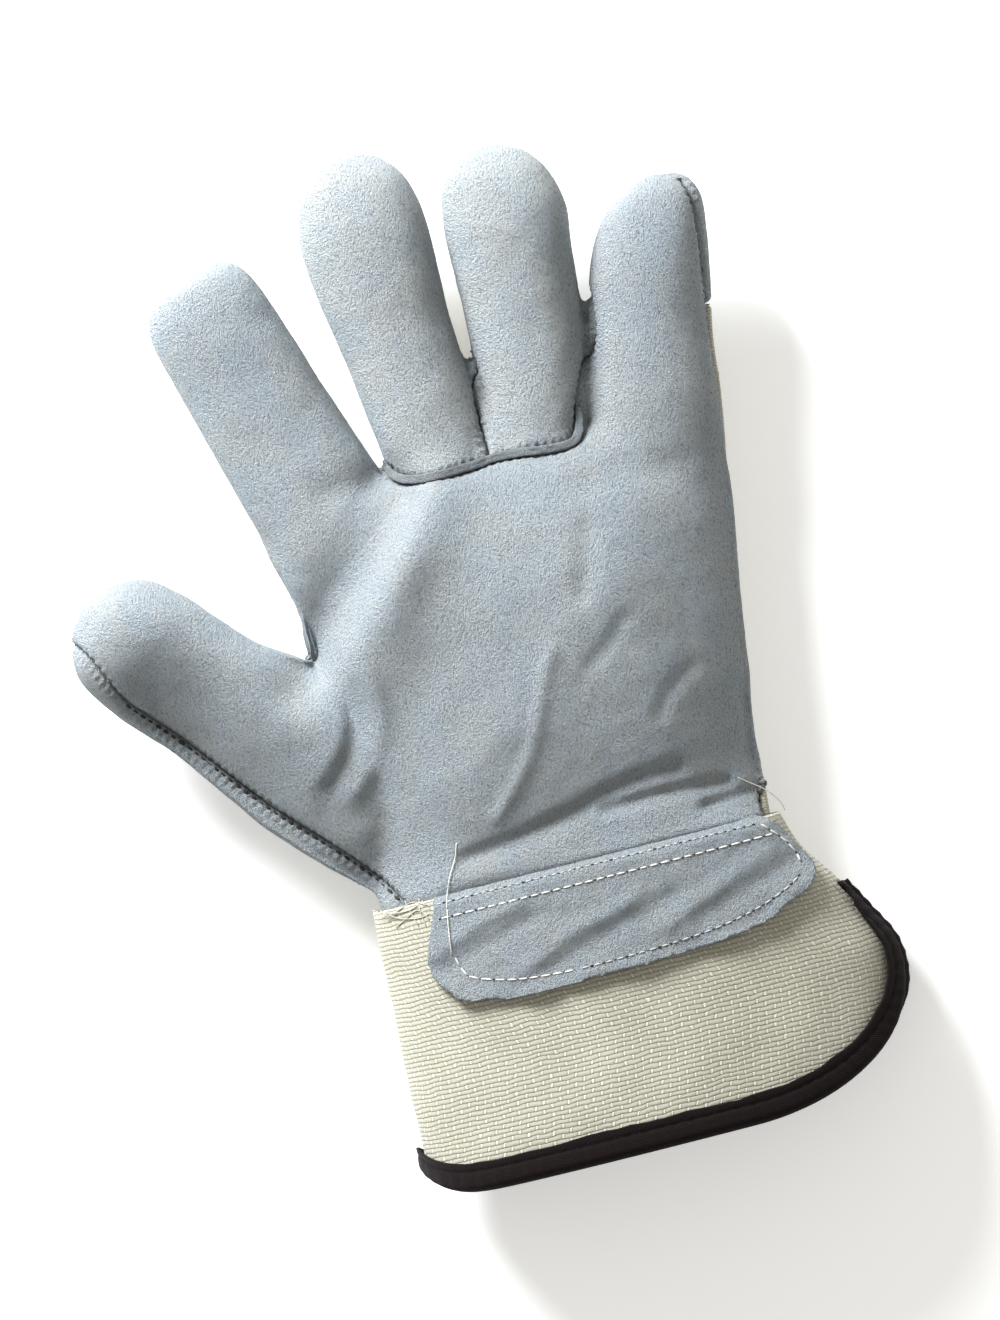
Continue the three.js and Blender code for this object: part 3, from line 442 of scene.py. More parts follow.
def height_of_fold(fold, points):
    """A ridge's or crease's height at each point; past the line's ends one flank turns into the other."""
    line = smooth_line(fold.line, FOLD_STEP)
    signed, _ = line_distance(points, line)
    ahead = np.array([line[0] - line[1], line[-1] - line[-2]])
    ahead /= np.linalg.norm(ahead, axis=1)[:, None]
    side = np.where(signed > 0, 1.0, -1.0)
    for tip, way in zip((line[0], line[-1]), ahead):
        past = np.maximum((points[:, :2] - tip) @ way, 0)
        slant = past / (np.abs(signed) + 1e-6)
        side = np.where(past > 0, side * np.sqrt(np.maximum(1 - slant**2, 0)), side)
    width = fold.left + (fold.right - fold.left) * (1 + side) / 2
    return fold.height * np.exp(-((signed / width) ** 2))


def fold_height(points):
    """Height that the folds add to the front at each point."""
    height = sum(height_of_fold(fold, points) for fold in FOLDS.values()) * smoothstep(points[:, 1], 0, 4)
    return height + height_of_fold(WRIST_ROLL, points)


# Cuff: a flared tube down from the wrist seam, split at the little finger's side. A section's split is the
# height of that side in shares of the other side's height.
CuffSection = namedtuple("CuffSection", "along left right top bottom split")

CUFF_LENGTH = 76
CUFF_SECTIONS = [
    CuffSection(0, 0.945, 0.92, 0.75, 0.81, 1),
    CuffSection(0.13, 0.955, 0.98, 0.78, 0.81, 0.95),
    CuffSection(0.26, 0.96, 1.1, 0.82, 0.81, 0.85),
    CuffSection(0.39, 0.965, 1.2, 0.87, 0.81, 0.72),
    CuffSection(0.54, 0.975, 1.3, 0.93, 0.81, 0.6),
    CuffSection(0.78, 0.98, 1.32, 1.02, 0.81, 0.5),
    CuffSection(1, 0.99, 1.32, 1.08, 0.81, 0.45),
]
SPLIT_START = 22  # from the wrist seam down to where the split begins
SPLIT_FRONT = 5  # from the side line round to the front panel's edge
SPLIT_BACK = 1.5  # and to the back panel's
CORNER_HEIGHT = 38  # from the hem up to where the panels' edges start to turn into it
CORNER_WIDTH = 54  # and along the hem to where they have turned
CORNER_START = CUFF_LENGTH - CORNER_HEIGHT
FOLD_RISE = 7  # how much the hem rises at the folded side
FOLD_REACH = 12  # and how far round from there

# Rows a millimetre apart down the cuff, from a little above the wrist seam to a little below the hem
ROWS_TOP = 6
ROWS_PAST_HEM = 8
ROWS_Y = np.arange(ROWS_TOP, -CUFF_LENGTH - ROWS_PAST_HEM, -1.0)
TURNS = np.linspace(0, 2 * math.pi, 361)


def cuff_form(turn, y, layer=0.0):
    """Points of the cuff's plain tube at turns and heights, grown outwards by a layer."""
    share = np.clip(-y / CUFF_LENGTH, 0, 1)
    columns = [between(CUFF_SECTIONS, column, share) for column in CuffSection._fields[1:]]
    return round_form(HAND, *columns, y, turn, layer)


def lengths_round():
    """For each of the cuff's rows, the length round it to each turn, starting at the split's side."""
    points = cuff_form(TURNS[None, :], ROWS_Y[:, None])
    steps = np.linalg.norm(np.diff(points, axis=1), axis=2)
    return np.concatenate([np.zeros((len(ROWS_Y), 1)), np.cumsum(steps, axis=1)], axis=1)


ROUND = lengths_round()


def girth_at(y):
    """Length once round the cuff at a height."""
    return np.interp(-y, -ROWS_Y, ROUND[:, -1])


def cuff_points(run, y, layer=0.0):
    """Points of the cuff at lengths round from the split's side, and at heights of the glove's plan."""
    run, y = np.broadcast_arrays(run, y)
    place = np.clip(ROWS_TOP - y, 0, len(ROWS_Y) - 1.001)
    low = place.astype(int)
    turn = np.zeros(y.shape)
    for row in np.unique(low):
        here = low == row
        blend = (place - low)[here]
        for lengths, weight in ((ROUND[row], 1 - blend), (ROUND[row + 1], blend)):
            behind = run[here] < 0
            wrapped = np.interp(run[here] + behind * lengths[-1], lengths, TURNS) - behind * 2 * math.pi
            turn[here] += weight * wrapped
    points = cuff_form(turn, y, layer)
    points[..., 2] = np.maximum(points[..., 2], floor_at(y) - layer)
    return points


# A stop on the cuff's edge: its panel's sign, 1 in front and -1 behind, its length from the panel's edge, its
# share of the way from the corner to the middle of the girth, or -1 up to the corner, its height, and the way
# from there into the canvas
Stop = namedtuple("Stop", "sign round share y inward_round inward_y")


def run_at(stop, y, moved=0.0):
    """Length round from the split's side of the place that a stop's column has at a height."""
    half = (girth_at(y) - SPLIT_FRONT - SPLIT_BACK) / 2
    past_corner = (CORNER_WIDTH + stop.share * (half - CORNER_WIDTH)) * (stop.share >= 0)
    from_edge = stop.round + moved * stop.inward_round + past_corner
    return np.where(stop.sign > 0, SPLIT_FRONT + from_edge, girth_at(y) - SPLIT_BACK - from_edge)


def hem_height(sign, share):
    """Height of the hem, which rises a little at the folded side."""
    girth = girth_at(-CUFF_LENGTH)
    half = (girth - SPLIT_FRONT - SPLIT_BACK) / 2
    fold = np.interp(math.pi, TURNS, ROUND[ROWS_TOP + CUFF_LENGTH]) - SPLIT_FRONT
    from_edge = CORNER_WIDTH + share * (half - CORNER_WIDTH)
    length_round = from_edge if sign > 0 else 2 * half - from_edge
    return -CUFF_LENGTH + FOLD_RISE * math.exp(-(((length_round - fold) / FOLD_REACH) ** 2))


CORNER_STEPS = 46
MIDDLE_STEPS = 62


def edge_stops():
    """Stops round the cuff's edge, from the front panel's edge at the split to the back panel's."""

    def corner(sign):
        turns = [math.pi / 2 * i / CORNER_STEPS for i in range(CORNER_STEPS)]
        ways = [(math.cos(turn), math.sin(turn)) for turn in turns]
        return [
            Stop(sign, CORNER_WIDTH * (1 - cosine), -1, -CORNER_START - CORNER_HEIGHT * sine, cosine, sine)
            for cosine, sine in ways
        ]

    def middle(sign):
        shares = [i / MIDDLE_STEPS for i in range(MIDDLE_STEPS + 1)]
        return [Stop(sign, 0, share, hem_height(sign, share), 0, 1) for share in shares]

    return [*corner(1), *middle(1), *middle(-1)[-2::-1], *corner(-1)[::-1]]


def stacked(stops):
    """Many stops as one, with a column of numbers in place of each number."""
    return Stop(*(np.array(column, float)[:, None] for column in zip(*stops)))


CUFF_ROWS_ABOVE = 22
CUFF_ROWS_BELOW = 46
CUFF_WAVES = [(0.8, 34), (0.35, 14)]  # height and width of the canvas's waves
SKEW = 0.25  # how far the canvas's warp leans from the glove's length
SPLIT_STEPS = 7  # points across the strip that closes the cuff above its split
JOIN_REACH = 1e-3  # edges of the two sheets nearer than this are joined


def wavy(points, waves):
    """Uneven heights at points, always the same for the same place."""
    flat = points.reshape(-1, 3)
    return np.array([
        sum(height * noise.noise(Vector(point) / width) for height, width in waves) for point in flat
    ]).reshape(points.shape[:-1])


def cuff_sheet(bm):
    """The canvas of the cuff as its outer face."""
    stops = stacked(edge_stops())
    above = np.linspace(0, 1, CUFF_ROWS_ABOVE, endpoint=False)[None, :]
    below = np.linspace(0, 1, CUFF_ROWS_BELOW)[None, :]
    y = np.concatenate([
        np.broadcast_to(-SPLIT_START * above, (len(stops.y), CUFF_ROWS_ABOVE)),
        -SPLIT_START + (stops.y + SPLIT_START) * below,
    ], axis=1)
    run = run_at(stops, y)
    points = cuff_points(run, y, CUFF_OUTER)
    free = smoothstep(-y, 4, 30)
    shifted = cuff_points(run, y, CUFF_OUTER + 1) - points
    points = points + shifted * (wavy(points, CUFF_WAVES) * free * (points[..., 2] > SIDE_HEIGHT))[..., None]
    skin(bm, points, cloth=np.stack([-run - SKEW * y, y], axis=-1))

    rows = CUFF_ROWS_ABOVE + 1
    strip_y = y[:1, :rows]
    strip_run = np.linspace(-SPLIT_BACK, SPLIT_FRONT, SPLIT_STEPS)[:, None]
    strip = cuff_points(strip_run, strip_y, CUFF_OUTER)
    strip[0], strip[-1] = points[-1, :rows], points[0, :rows]
    strip_run, strip_y = np.broadcast_arrays(strip_run, strip_y)
    skin(bm, strip, cloth=np.stack([-strip_run - SKEW * strip_y, strip_y], axis=-1))
    bmesh.ops.remove_doubles(bm, verts=bm.verts, dist=JOIN_REACH)
    bmesh.ops.recalc_face_normals(bm, faces=bm.faces)


TAPE_WIDTH = 6
TAPE_THICKNESS = 0.7
TAPE_START = 20  # length over which the tape reaches its width from its ends at the split
TAPE_SEAM = 3.7  # from the cuff's edge to the stitches that hold the tape
TAPE_STITCH = 4.2
TAPE_LAYERS = (3.5, -0.35)  # of the tape's outer faces in front of the canvas and behind it
TAPE_FOLD = 0.6  # from the canvas's edge into it, where the tape starts to turn
TAPE_STEPS = 12  # across the tape on each side of its fold
TAPE_BESIDE = 16  # stops down each side of the split above the corner
TAPE_UNEVEN = 0.5  # how far its edges wander
TAPE_DIP = 0.45  # depth to which its stitches draw it in
TAPE_PUFF = 0.25  # and how far it stands up between them


def tape_profile():
    """The folded tape's section, from its front edge round the canvas's edge to its back edge."""
    middle, radius = sum(TAPE_LAYERS) / 2, (TAPE_LAYERS[0] - TAPE_LAYERS[1]) / 2
    flat = np.linspace(TAPE_WIDTH, TAPE_FOLD, TAPE_STEPS, endpoint=False)
    turn = np.linspace(math.pi / 2, -math.pi / 2, TAPE_STEPS + 1)
    reach = np.concatenate([flat, TAPE_FOLD - radius * np.cos(turn), flat[::-1]])
    layer = np.concatenate([
        np.full(len(flat), TAPE_LAYERS[0]), middle + radius * np.sin(turn), np.full(len(flat), TAPE_LAYERS[1])
    ])
    return reach, layer


def tape_path():
    """Stops along the tape, down one side of the split, round the hem and up the other side."""
    beside = [-SPLIT_START - (CORNER_START - SPLIT_START) * i / TAPE_BESIDE for i in range(TAPE_BESIDE)]
    front = [Stop(1, 0, -1, y, 1, 0) for y in beside]
    back = [Stop(-1, 0, -1, y, 1, 0) for y in beside]
    return stacked([*front, *edge_stops(), *back[::-1]])


def tape_sheet(bm):
    """The tape folded over the cuff's edge, as its outer face."""
    path = tape_path()
    reach, layer = tape_profile()
    plain = cuff_points(run_at(path, path.y), path.y, CUFF_OUTER)
    along = np.concatenate([[0], np.cumsum(np.linalg.norm(np.diff(plain[:, 0], axis=0), axis=1))])[:, None]
    uneven = np.array([
        noise.noise(Vector((run / 9, 3.5, 0))) + 0.5 * noise.noise(Vector((run / 3, 7.5, 0)))
        for run in along[:, 0]
    ])
    wander = TAPE_UNEVEN * uneven[:, None] * smoothstep(reach, 2, TAPE_WIDTH)[None, :]
    started = smoothstep(np.minimum(along, along[-1] - along), -3, TAPE_START)
    reach = reach[None, :] * (0.1 + 0.9 * started) + wander
    beat = 2 * math.pi * along / TAPE_STITCH
    dip = TAPE_DIP * np.exp(-(((reach - TAPE_SEAM) / 0.6) ** 2)) * (0.7 + 0.3 * np.cos(beat))
    puff = TAPE_PUFF * np.cos(beat + math.pi) * np.exp(-(((reach - 1.5) / 2) ** 2))
    outside = np.where(np.arange(reach.shape[1])[None, :] < reach.shape[1] // 2, 1.0, -1.0)
    y = path.y + reach * path.inward_y
    run = run_at(path, y, reach)
    layers = layer + outside * (puff - dip)
    # One column at a time, because the cuff's points take one layer for each of their rows
    points = np.stack([
        cuff_points(run[:, i], y[:, i], layers[:, i]) for i in range(len(layer))
    ], axis=1)
    skin(bm, points, cloth=np.stack(np.broadcast_arrays(along, reach), axis=-1))
    bmesh.ops.recalc_face_normals(bm, faces=bm.faces)


VOXEL = 1.22  # size of the faces that the hand is made of
SKIN_ROUNDS = 6  # of smoothing after it
WAVES = [(0.45, 26), (0.3, 11), (0.12, 4.5)]  # uneven surface of soft leather: height and width of its waves


def remeshed(bm, voxel):
    """The outer skin of overlapping closed shapes as one even mesh."""
    mesh = bpy.data.meshes.new("forms")
    bm.to_mesh(mesh)
    obj = bpy.data.objects.new("forms", mesh)
    bpy.context.scene.collection.objects.link(obj)
    voxels = obj.modifiers.new("Skin", "REMESH")
    voxels.mode = "VOXEL"
    voxels.voxel_size = voxel
    graph = bpy.context.evaluated_depsgraph_get()
    skinned = bpy.data.meshes.new_from_object(obj.evaluated_get(graph))
    bpy.data.objects.remove(obj)
    bpy.data.meshes.remove(mesh)
    made = bmesh.new()
    made.from_mesh(skinned)
    bpy.data.meshes.remove(skinned)
    return made


SNAP = 0.12  # points this near to a cut move onto it


def cut_along(bm, level):
    """Puts edges wherever a function of the points passes zero."""
    bm.verts.index_update()
    values = level(coordinates(bm))
    values[np.abs(values) < SNAP] = 0
    on_cut = [vert for vert, value in zip(bm.verts, values) if value == 0]
    for edge in list(bm.edges):
        first, second = edge.verts
        a, b = values[first.index], values[second.index]
        if a * b < 0:
            on_cut.append(bmesh.utils.edge_split(edge, first, a / (a - b))[1])
    bmesh.ops.connect_verts(bm, verts=on_cut)


def along_across(form, points):
    """How far points lie along a form and across it, on the plan."""
    angle = math.radians(form.angle)
    offset = points[:, :2] - (form.x, form.y)
    return (
        offset @ (math.sin(angle), math.cos(angle)),
        offset @ (math.cos(angle), -math.sin(angle)),
    )


FORM_REACH = 1.7  # half widths from a form's middle within which its tip's lift moves the side seam
TIP_MARGIN = 3  # past a finger's sides, where the cut for its leather tip still runs


def front_level(points):
    """Positive on the palm's side of the side seams."""
    height = np.zeros(len(points))
    nearest = np.full(len(points), FORM_REACH)
    for form in [*FINGERS.values(), THUMB]:
        along, across = along_across(form, points)
        share = along / form.length
        off = np.where(share > 0, np.abs(across) / (form.width / 2), np.inf)
        slope = math.tan(math.radians(form.roll)) * np.clip(share, 0, 1)
        seam = form.lift * between(form.sections, "lift", share) + slope * across
        height = np.where(off < nearest, seam, height)
        nearest = np.minimum(off, nearest)
    beside_thumb, _ = line_distance(points, smooth_line(THUMB_SEAM))
    bared = BARE_CANVAS * smoothstep(points[:, 0], 40, 52) * smoothstep(-points[:, 1], -16, 0)
    return np.minimum(points[:, 2] - (SIDE_HEIGHT - SEAM_DROP + height + bared), -beside_thumb)


def middle_fingers_level(points):
    """Positive inside the outline that the two middle fingers' fronts fill."""
    outline = [*smooth_line(FINGER_BASE_SEAM), *MIDDLE_FINGERS_RIGHT, *MIDDLE_FINGERS_LEFT]
    outline = [*outline, outline[0]]
    signed, _ = line_distance(points, outline)
    return -signed


def split_level(points):
    """Positive on the ring finger's side of the line between the two middle fingers."""
    return line_distance(points, smooth_line(FINGER_SPLIT))[0]


def thumb_back_level(points):
    """Positive on the thumb's side of the seam that joins its leather back to the canvas."""
    return -line_distance(points, smooth_line(THUMB_BACK_SEAM))[0]


def tip_level(name):
    """Positive past the place where a finger's leather tip starts, within that finger."""
    form = FINGERS[name]

    def level(points):
        along, across = along_across(form, points)
        inside = form.width / 2 + TIP_MARGIN - np.abs(across)
        return np.minimum(along - TIP_BACKS[name] * form.length, inside)

    return level


PIECES = ["palm_leather", "middle_finger_front", "ring_finger_front", "thumb_back", "canvas_back"]
PIECES += [f"{name}_tip_back" for name in FINGERS]
FORM_MESH = "glove_form"
WRIST_END = -7.5  # the leather is tucked this far into the cuff
UNCUT = 99  # a level that no cut passes


def smooth(bm, verts, rounds):
    """Draws points to the middle of their neighbours, half of the way each round."""
    for _ in range(rounds):
        bmesh.ops.smooth_vert(bm, verts=verts, factor=0.5, use_axis_x=True, use_axis_y=True, use_axis_z=True)


def faces_front(points):
    """True for points on the palm's side of the side seams."""
    return front_level(points) > 0


def shape_hand():
    """The whole hand in one mesh, cut along its seams, with each face marked with its piece."""
    forms = bmesh.new()
    for form in [HAND, *FINGERS.values(), THUMB, BETWEEN]:
        skin(forms, form_points(form), closed=True)
    bmesh.ops.remove_doubles(forms, verts=forms.verts, dist=SAME_PLACE)
    bmesh.ops.holes_fill(forms, edges=forms.edges, sides=0)
    bmesh.ops.recalc_face_normals(forms, faces=forms.faces)
    bm = remeshed(forms, VOXEL)
    forms.free()
    smooth(bm, bm.verts, SKIN_ROUNDS)
    bm.normal_update()
    points = coordinates(bm)
    normals = np.array([vert.normal for vert in bm.verts])
    front = smoothstep(normals[:, 2], 0.1, 0.6)
    points[:, 2] += fold_height(points) * front
    uneven = wavy(points, WAVES) * smoothstep(normals[:, 2], -0.6, 0.2) * smoothstep(points[:, 1], 0, 8)
    points += normals * uneven[:, None]
    for vert, point in zip(bm.verts, points):
        vert.co = point

    cut_along(bm, lambda p: p[:, 1] - WRIST_END)
    cut_along(bm, front_level)
    cut_along(bm, lambda p: np.where(faces_front(p), middle_fingers_level(p), UNCUT))
    cut_along(bm, lambda p: np.where(faces_front(p) & (middle_fingers_level(p) > -1), split_level(p), UNCUT))
    cut_along(bm, lambda p: np.where(faces_front(p), UNCUT, thumb_back_level(p)))
    for name in FINGERS:
        cut_along(bm, lambda p, level=tip_level(name): np.where(front_level(p) > 1, UNCUT, level(p)))
    return bm


def mark_pieces(bm):
    """Gives each face the number of its piece, and each vertex the direction out of the glove."""
    bm.normal_update()
    away = bm.verts.layers.float_vector.new("away")
    for vert in bm.verts:
        vert[away] = vert.normal
    centres = np.array([face.calc_center_median() for face in bm.faces])
    is_front = faces_front(centres)
    in_middle = middle_fingers_level(centres) > 0
    left_of_split = split_level(centres) < 0
    number = np.full(len(centres), PIECES.index("canvas_back"))
    for name in FINGERS:
        number[~is_front & (tip_level(name)(centres) > 0)] = PIECES.index(f"{name}_tip_back")
    number[~is_front & (thumb_back_level(centres) > 0)] = PIECES.index("thumb_back")
    number[is_front] = PIECES.index("palm_leather")
    number[is_front & in_middle & left_of_split] = PIECES.index("middle_finger_front")
    number[is_front & in_middle & ~left_of_split] = PIECES.index("ring_finger_front")
    number[centres[:, 1] < WRIST_END] = -1
    piece = bm.faces.layers.int.new("piece")
    for face, value in zip(bm.faces, number):
        face[piece] = int(value)


def piece_of_hand(name):
    """A copy of the hand with one piece's faces left, without the crumbs that a cut leaves."""
    bm = bmesh.new()
    bm.from_mesh(bpy.data.meshes[FORM_MESH])
    piece = bm.faces.layers.int["piece"]
    number = PIECES.index(name)
    bmesh.ops.delete(bm, geom=[face for face in bm.faces if face[piece] != number], context="FACES")
    groups, seen = [], set()
    for start in bm.faces:
        if start in seen:
            continue
        group, waiting = [], [start]
        seen.add(start)
        while waiting:
            face = waiting.pop()
            group.append(face)
            for edge in face.edges:
                for other in edge.link_faces:
                    if other not in seen:
                        seen.add(other)
                        waiting.append(other)
        groups.append(group)
    groups.sort(key=len)
    bmesh.ops.delete(bm, geom=[face for group in groups[:-1] for face in group], context="FACES")
    return bm


EDGE_ROUNDS = 8
BESIDE_ROUNDS = 3


def fair_edges(bm):
    """Smooths a piece's open edges along their own run, and then the faces beside them."""
    for _ in range(EDGE_ROUNDS):
        moves = []
        for vert in bm.verts:
            beside = [edge.other_vert(vert).co for edge in vert.link_edges if edge.is_boundary]
            if len(beside) == 2:
                moves.append((vert, (beside[0] + beside[1]) / 2))
        for vert, middle in moves:
            vert.co = vert.co.lerp(middle, 0.5)
    tree, _ = edge_lines(bm)
    near = [vert for vert in bm.verts if not vert.is_boundary and tree.find(vert.co)[2] < 2 * VOXEL]
    smooth(bm, near, BESIDE_ROUNDS)


SEAM_REACH = 3.4  # how far a sewn edge's roll and puckers reach into the piece
SEAM_PULL = 0.35  # how far it draws back from the seam


def edge_lines(bm):
    """The piece's open edges as a search tree of points, each with its length along the edge."""
    boundary = [edge for edge in bm.edges if edge.is_boundary]
    open_edges = set(boundary)
    places = []
    for edge in boundary:
        if edge not in open_edges:
            continue
        open_edges.discard(edge)
        vert, run = edge.verts[0], 0.0
        while True:
            places.append((vert.co.copy(), run))
            following = next((e for e in vert.link_edges if e in open_edges), None)
            if following is None:
                break
            open_edges.discard(following)
            run += following.calc_length()
            vert = following.other_vert(vert)
    tree = kdtree.KDTree(len(places))
    for i, (point, _) in enumerate(places):
        tree.insert(point, i)
    tree.balance()
    return tree, [run for _, run in places]


def sew_edges(bm, roll, pitch, pucker):
    """Refines the mesh along its sewn edges and rolls them into their seams, puckered by the stitches."""
    fair_edges(bm)
    tree, _ = edge_lines(bm)
    near = {vert for vert in bm.verts if tree.find(vert.co)[2] < SEAM_REACH}
    edges = [edge for edge in bm.edges if edge.verts[0] in near and edge.verts[1] in near]
    bmesh.ops.subdivide_edges(bm, edges=edges, cuts=1, use_grid_fill=True)
    tree, runs = edge_lines(bm)
    away = bm.verts.layers.float_vector["away"]
    moves = []
    for vert in bm.verts:
        point, i, distance = tree.find(vert.co)
        if distance > SEAM_REACH:
            continue
        out = vert[away].normalized()
        inward = vert.co - point
        sewn = float(smoothstep(vert.co.y, -6, -1))
        t = 1 - min(distance / roll, 1)
        depth = roll * (1 - math.sqrt(max(0, 1 - t * t)))
        wave = 0.5 + 0.5 * math.cos(2 * math.pi * runs[i] / pitch)
        depth += pucker * wave * math.exp(-((distance - 0.5 * roll) / (0.5 * roll)) ** 2)
        pull = Vector((0, 0, 0)) if distance < 1e-6 else inward.normalized() * SEAM_PULL * t
        moves.append((vert, (pull - out * depth) * sewn))
    for vert, move in moves:
        vert.co += move


def node(tree, kind, inputs=(), **settings):
    """Adds a shader node with its settings, and links or sets its inputs, by name or in their order.

    A node given as an input stands for its first output.
    """
    made = tree.nodes.new(f"ShaderNode{kind}")
    for key, value in settings.items():
        setattr(made, key, value)
    for key, value in inputs.items() if isinstance(inputs, dict) else enumerate(inputs):
        if isinstance(value, bpy.types.Node):
            value = value.outputs[0]
        if isinstance(value, bpy.types.NodeSocket):
            tree.links.new(value, made.inputs[key])
        else:
            made.inputs[key].default_value = value
    return made


def fresh_material(name):
    """A new material with an empty tree of nodes."""
    material = bpy.data.materials.new(name)
    material.use_nodes = True
    material.node_tree.nodes.clear()
    return material, material.node_tree


# A Map Range node's inputs, in order, are the value, its low and high ends, and what these become. A Mix node
# of colours has its share at 0, its two colours at 6 and 7, and its result at output 2.
NAP_TURN = math.radians(22)  # keeps the noise's own grid off the glove's axes
NAP_STRETCH = (1.8, 0.95, 1.2)  # tufts are closer across the glove than along it
NAP_RELIEF = 2.4  # deeper than a real nap, so that the tufts show at the size of the picture
CLOUD_WIDTH = 16  # of the clouds of cooler and warmer leather
DUST_WIDTH = 7  # of the dusty places
# Painted highlight: the colour given to the tips of the tufts
SUEDE_TIP_HIGHLIGHT = "#DDE1E1"
SUEDE_COOL = "#F4F9FD"
SUEDE_WARM = "#FFFDF9"
SUEDE_DUST = "#B9BCB9"


def suede(name, base, shade, nap):
    """Split cowhide, brushed to a nap: matt tufts that catch the light one by one, in drifting shades, with
    painted shade between the tufts and painted highlights on their tips.
    """
    material, tree = fresh_material(name)
    place = node(tree, "Mapping", {
        "Vector": node(tree, "TexCoord").outputs["Object"],
        "Rotation": (0.0, 0.0, NAP_TURN),
        "Scale": NAP_STRETCH,
    })
    tufts, fine, clouds, dust = [
        node(tree, "TexNoise", {"Vector": place, "Scale": scale, "Detail": detail, "Roughness": rough})
        for scale, detail, rough in (
            (1 / nap, 3.0, 0.62),
            (2.2 / nap, 2.0, 0.6),
            (1 / (CLOUD_WIDTH * MM), 3.0, 0.55),
            (1 / (DUST_WIDTH * MM), 2.0, 0.5),
        )
    ]
    # Painted shade: the leather goes to the shade colour between the tufts
    shade_between_tufts = node(tree, "MapRange", [tufts, 0.34, 0.5, 0.7, 0.0])
    # Painted highlights: the tips of the tufts go to a pale colour
    tip_highlights = node(tree, "MapRange", [fine, 0.55, 0.66, 0.0, 0.8])
    clouded = node(tree, "MapRange", [clouds, 0.35, 0.65])
    dusty = node(tree, "MapRange", [dust, 0.5, 0.8, 0.0, 0.2])
    body = node(tree, "Mix", {0: shade_between_tufts, 6: base, 7: shade}, data_type="RGBA").outputs[2]
    highlighted = node(tree, "Mix", {0: tip_highlights, 6: body, 7: linear(SUEDE_TIP_HIGHLIGHT)}, data_type="RGBA").outputs[2]
    tones = {0: clouded, 6: linear(SUEDE_COOL), 7: linear(SUEDE_WARM)}
    tone = node(tree, "Mix", tones, data_type="RGBA").outputs[2]
    both = {0: 1.0, 6: highlighted, 7: tone}
    toned = node(tree, "Mix", both, data_type="RGBA", blend_type="MULTIPLY").outputs[2]
    dusted = node(tree, "Mix", {0: dusty, 6: toned, 7: linear(SUEDE_DUST)}, data_type="RGBA").outputs[2]
    height = node(tree, "Math", [tufts, fine], operation="ADD")
    bump = node(tree, "Bump", {"Strength": 1.0, "Distance": NAP_RELIEF * MM, "Height": height})
    surface = node(tree, "BsdfPrincipled", {
        "Base Color": dusted,
        "Roughness": 0.95,
        "Specular IOR Level": 0.15,
        "Sheen Weight": 0.25,
        "Sheen Roughness": 0.6,
        "Normal": bump,
    })
    node(tree, "OutputMaterial", [surface])
    return material


def finish_piece(bm, name, material, stands_for=(), thickness=None):
    """Moves a piece into the frame, gives it its wall and finish, and ties it to the glove."""
    bmesh.ops.transform(bm, matrix=TO_FRAME, verts=bm.verts)
    mesh = bpy.data.meshes.new(name)
    bm.to_mesh(mesh)
    bm.free()
    for attribute in [a for a in mesh.attributes if a.name in ("away", "piece")]:
        mesh.attributes.remove(attribute)
    mesh.materials.append(material)
    mesh.shade_smooth()
    obj = bpy.data.objects.new(name, mesh)
    bpy.context.scene.collection.objects.link(obj)
    if thickness:
        wall = obj.modifiers.new("Wall", "SOLIDIFY")
        wall.thickness = thickness
        wall.offset = -1
        wall.use_quality_normals = True
    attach(obj, BODY)
    if stands_for:
        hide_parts(*stands_for)
    return obj


WELT_WIDTH = 2.4
WELT_PROUD = 0.9
WELT_SINK = 2.2  # how deep its sides reach into the seam
WELT_FADE = 6  # length over which it runs out at its ends
WELT_SHOULDER = 2.6  # from its middle out to where the leather beside it is measured
WELT_STEP = 0.5
WELT_PROFILE = [
    (-1, -WELT_SINK), (-1, 0), (-0.92, WELT_PROUD * 0.8), (-0.7, WELT_PROUD), (-0.25, WELT_PROUD * 0.9),
    (0.25, WELT_PROUD * 0.92), (0.7, WELT_PROUD), (0.92, WELT_PROUD * 0.8), (1, 0), (1, -WELT_SINK),
]
ABOVE_GLOVE = 200  # height from which the surface is looked for


def on_top(objects):
    """Height of the highest surface of some pieces at a place of the plan, in millimetres."""
    graph = bpy.context.evaluated_depsgraph_get()
    trees = [BVHTree.FromObject(obj, graph) for obj in objects]
    back = TO_FRAME.inverted()

    def height(x, y):
        start = TO_FRAME @ Vector((x, y, ABOVE_GLOVE))
        hits = [tree.ray_cast(start, Vector((0, 0, -1)))[0] for tree in trees]
        return max([(back @ hit).z for hit in hits if hit], default=0.0)

    return height


def smoothed(values, width):
    """A running mean over an odd number of values."""
    kernel = np.ones(width) / width
    return np.convolve(np.pad(values, width // 2, mode="edge"), kernel, mode="valid")


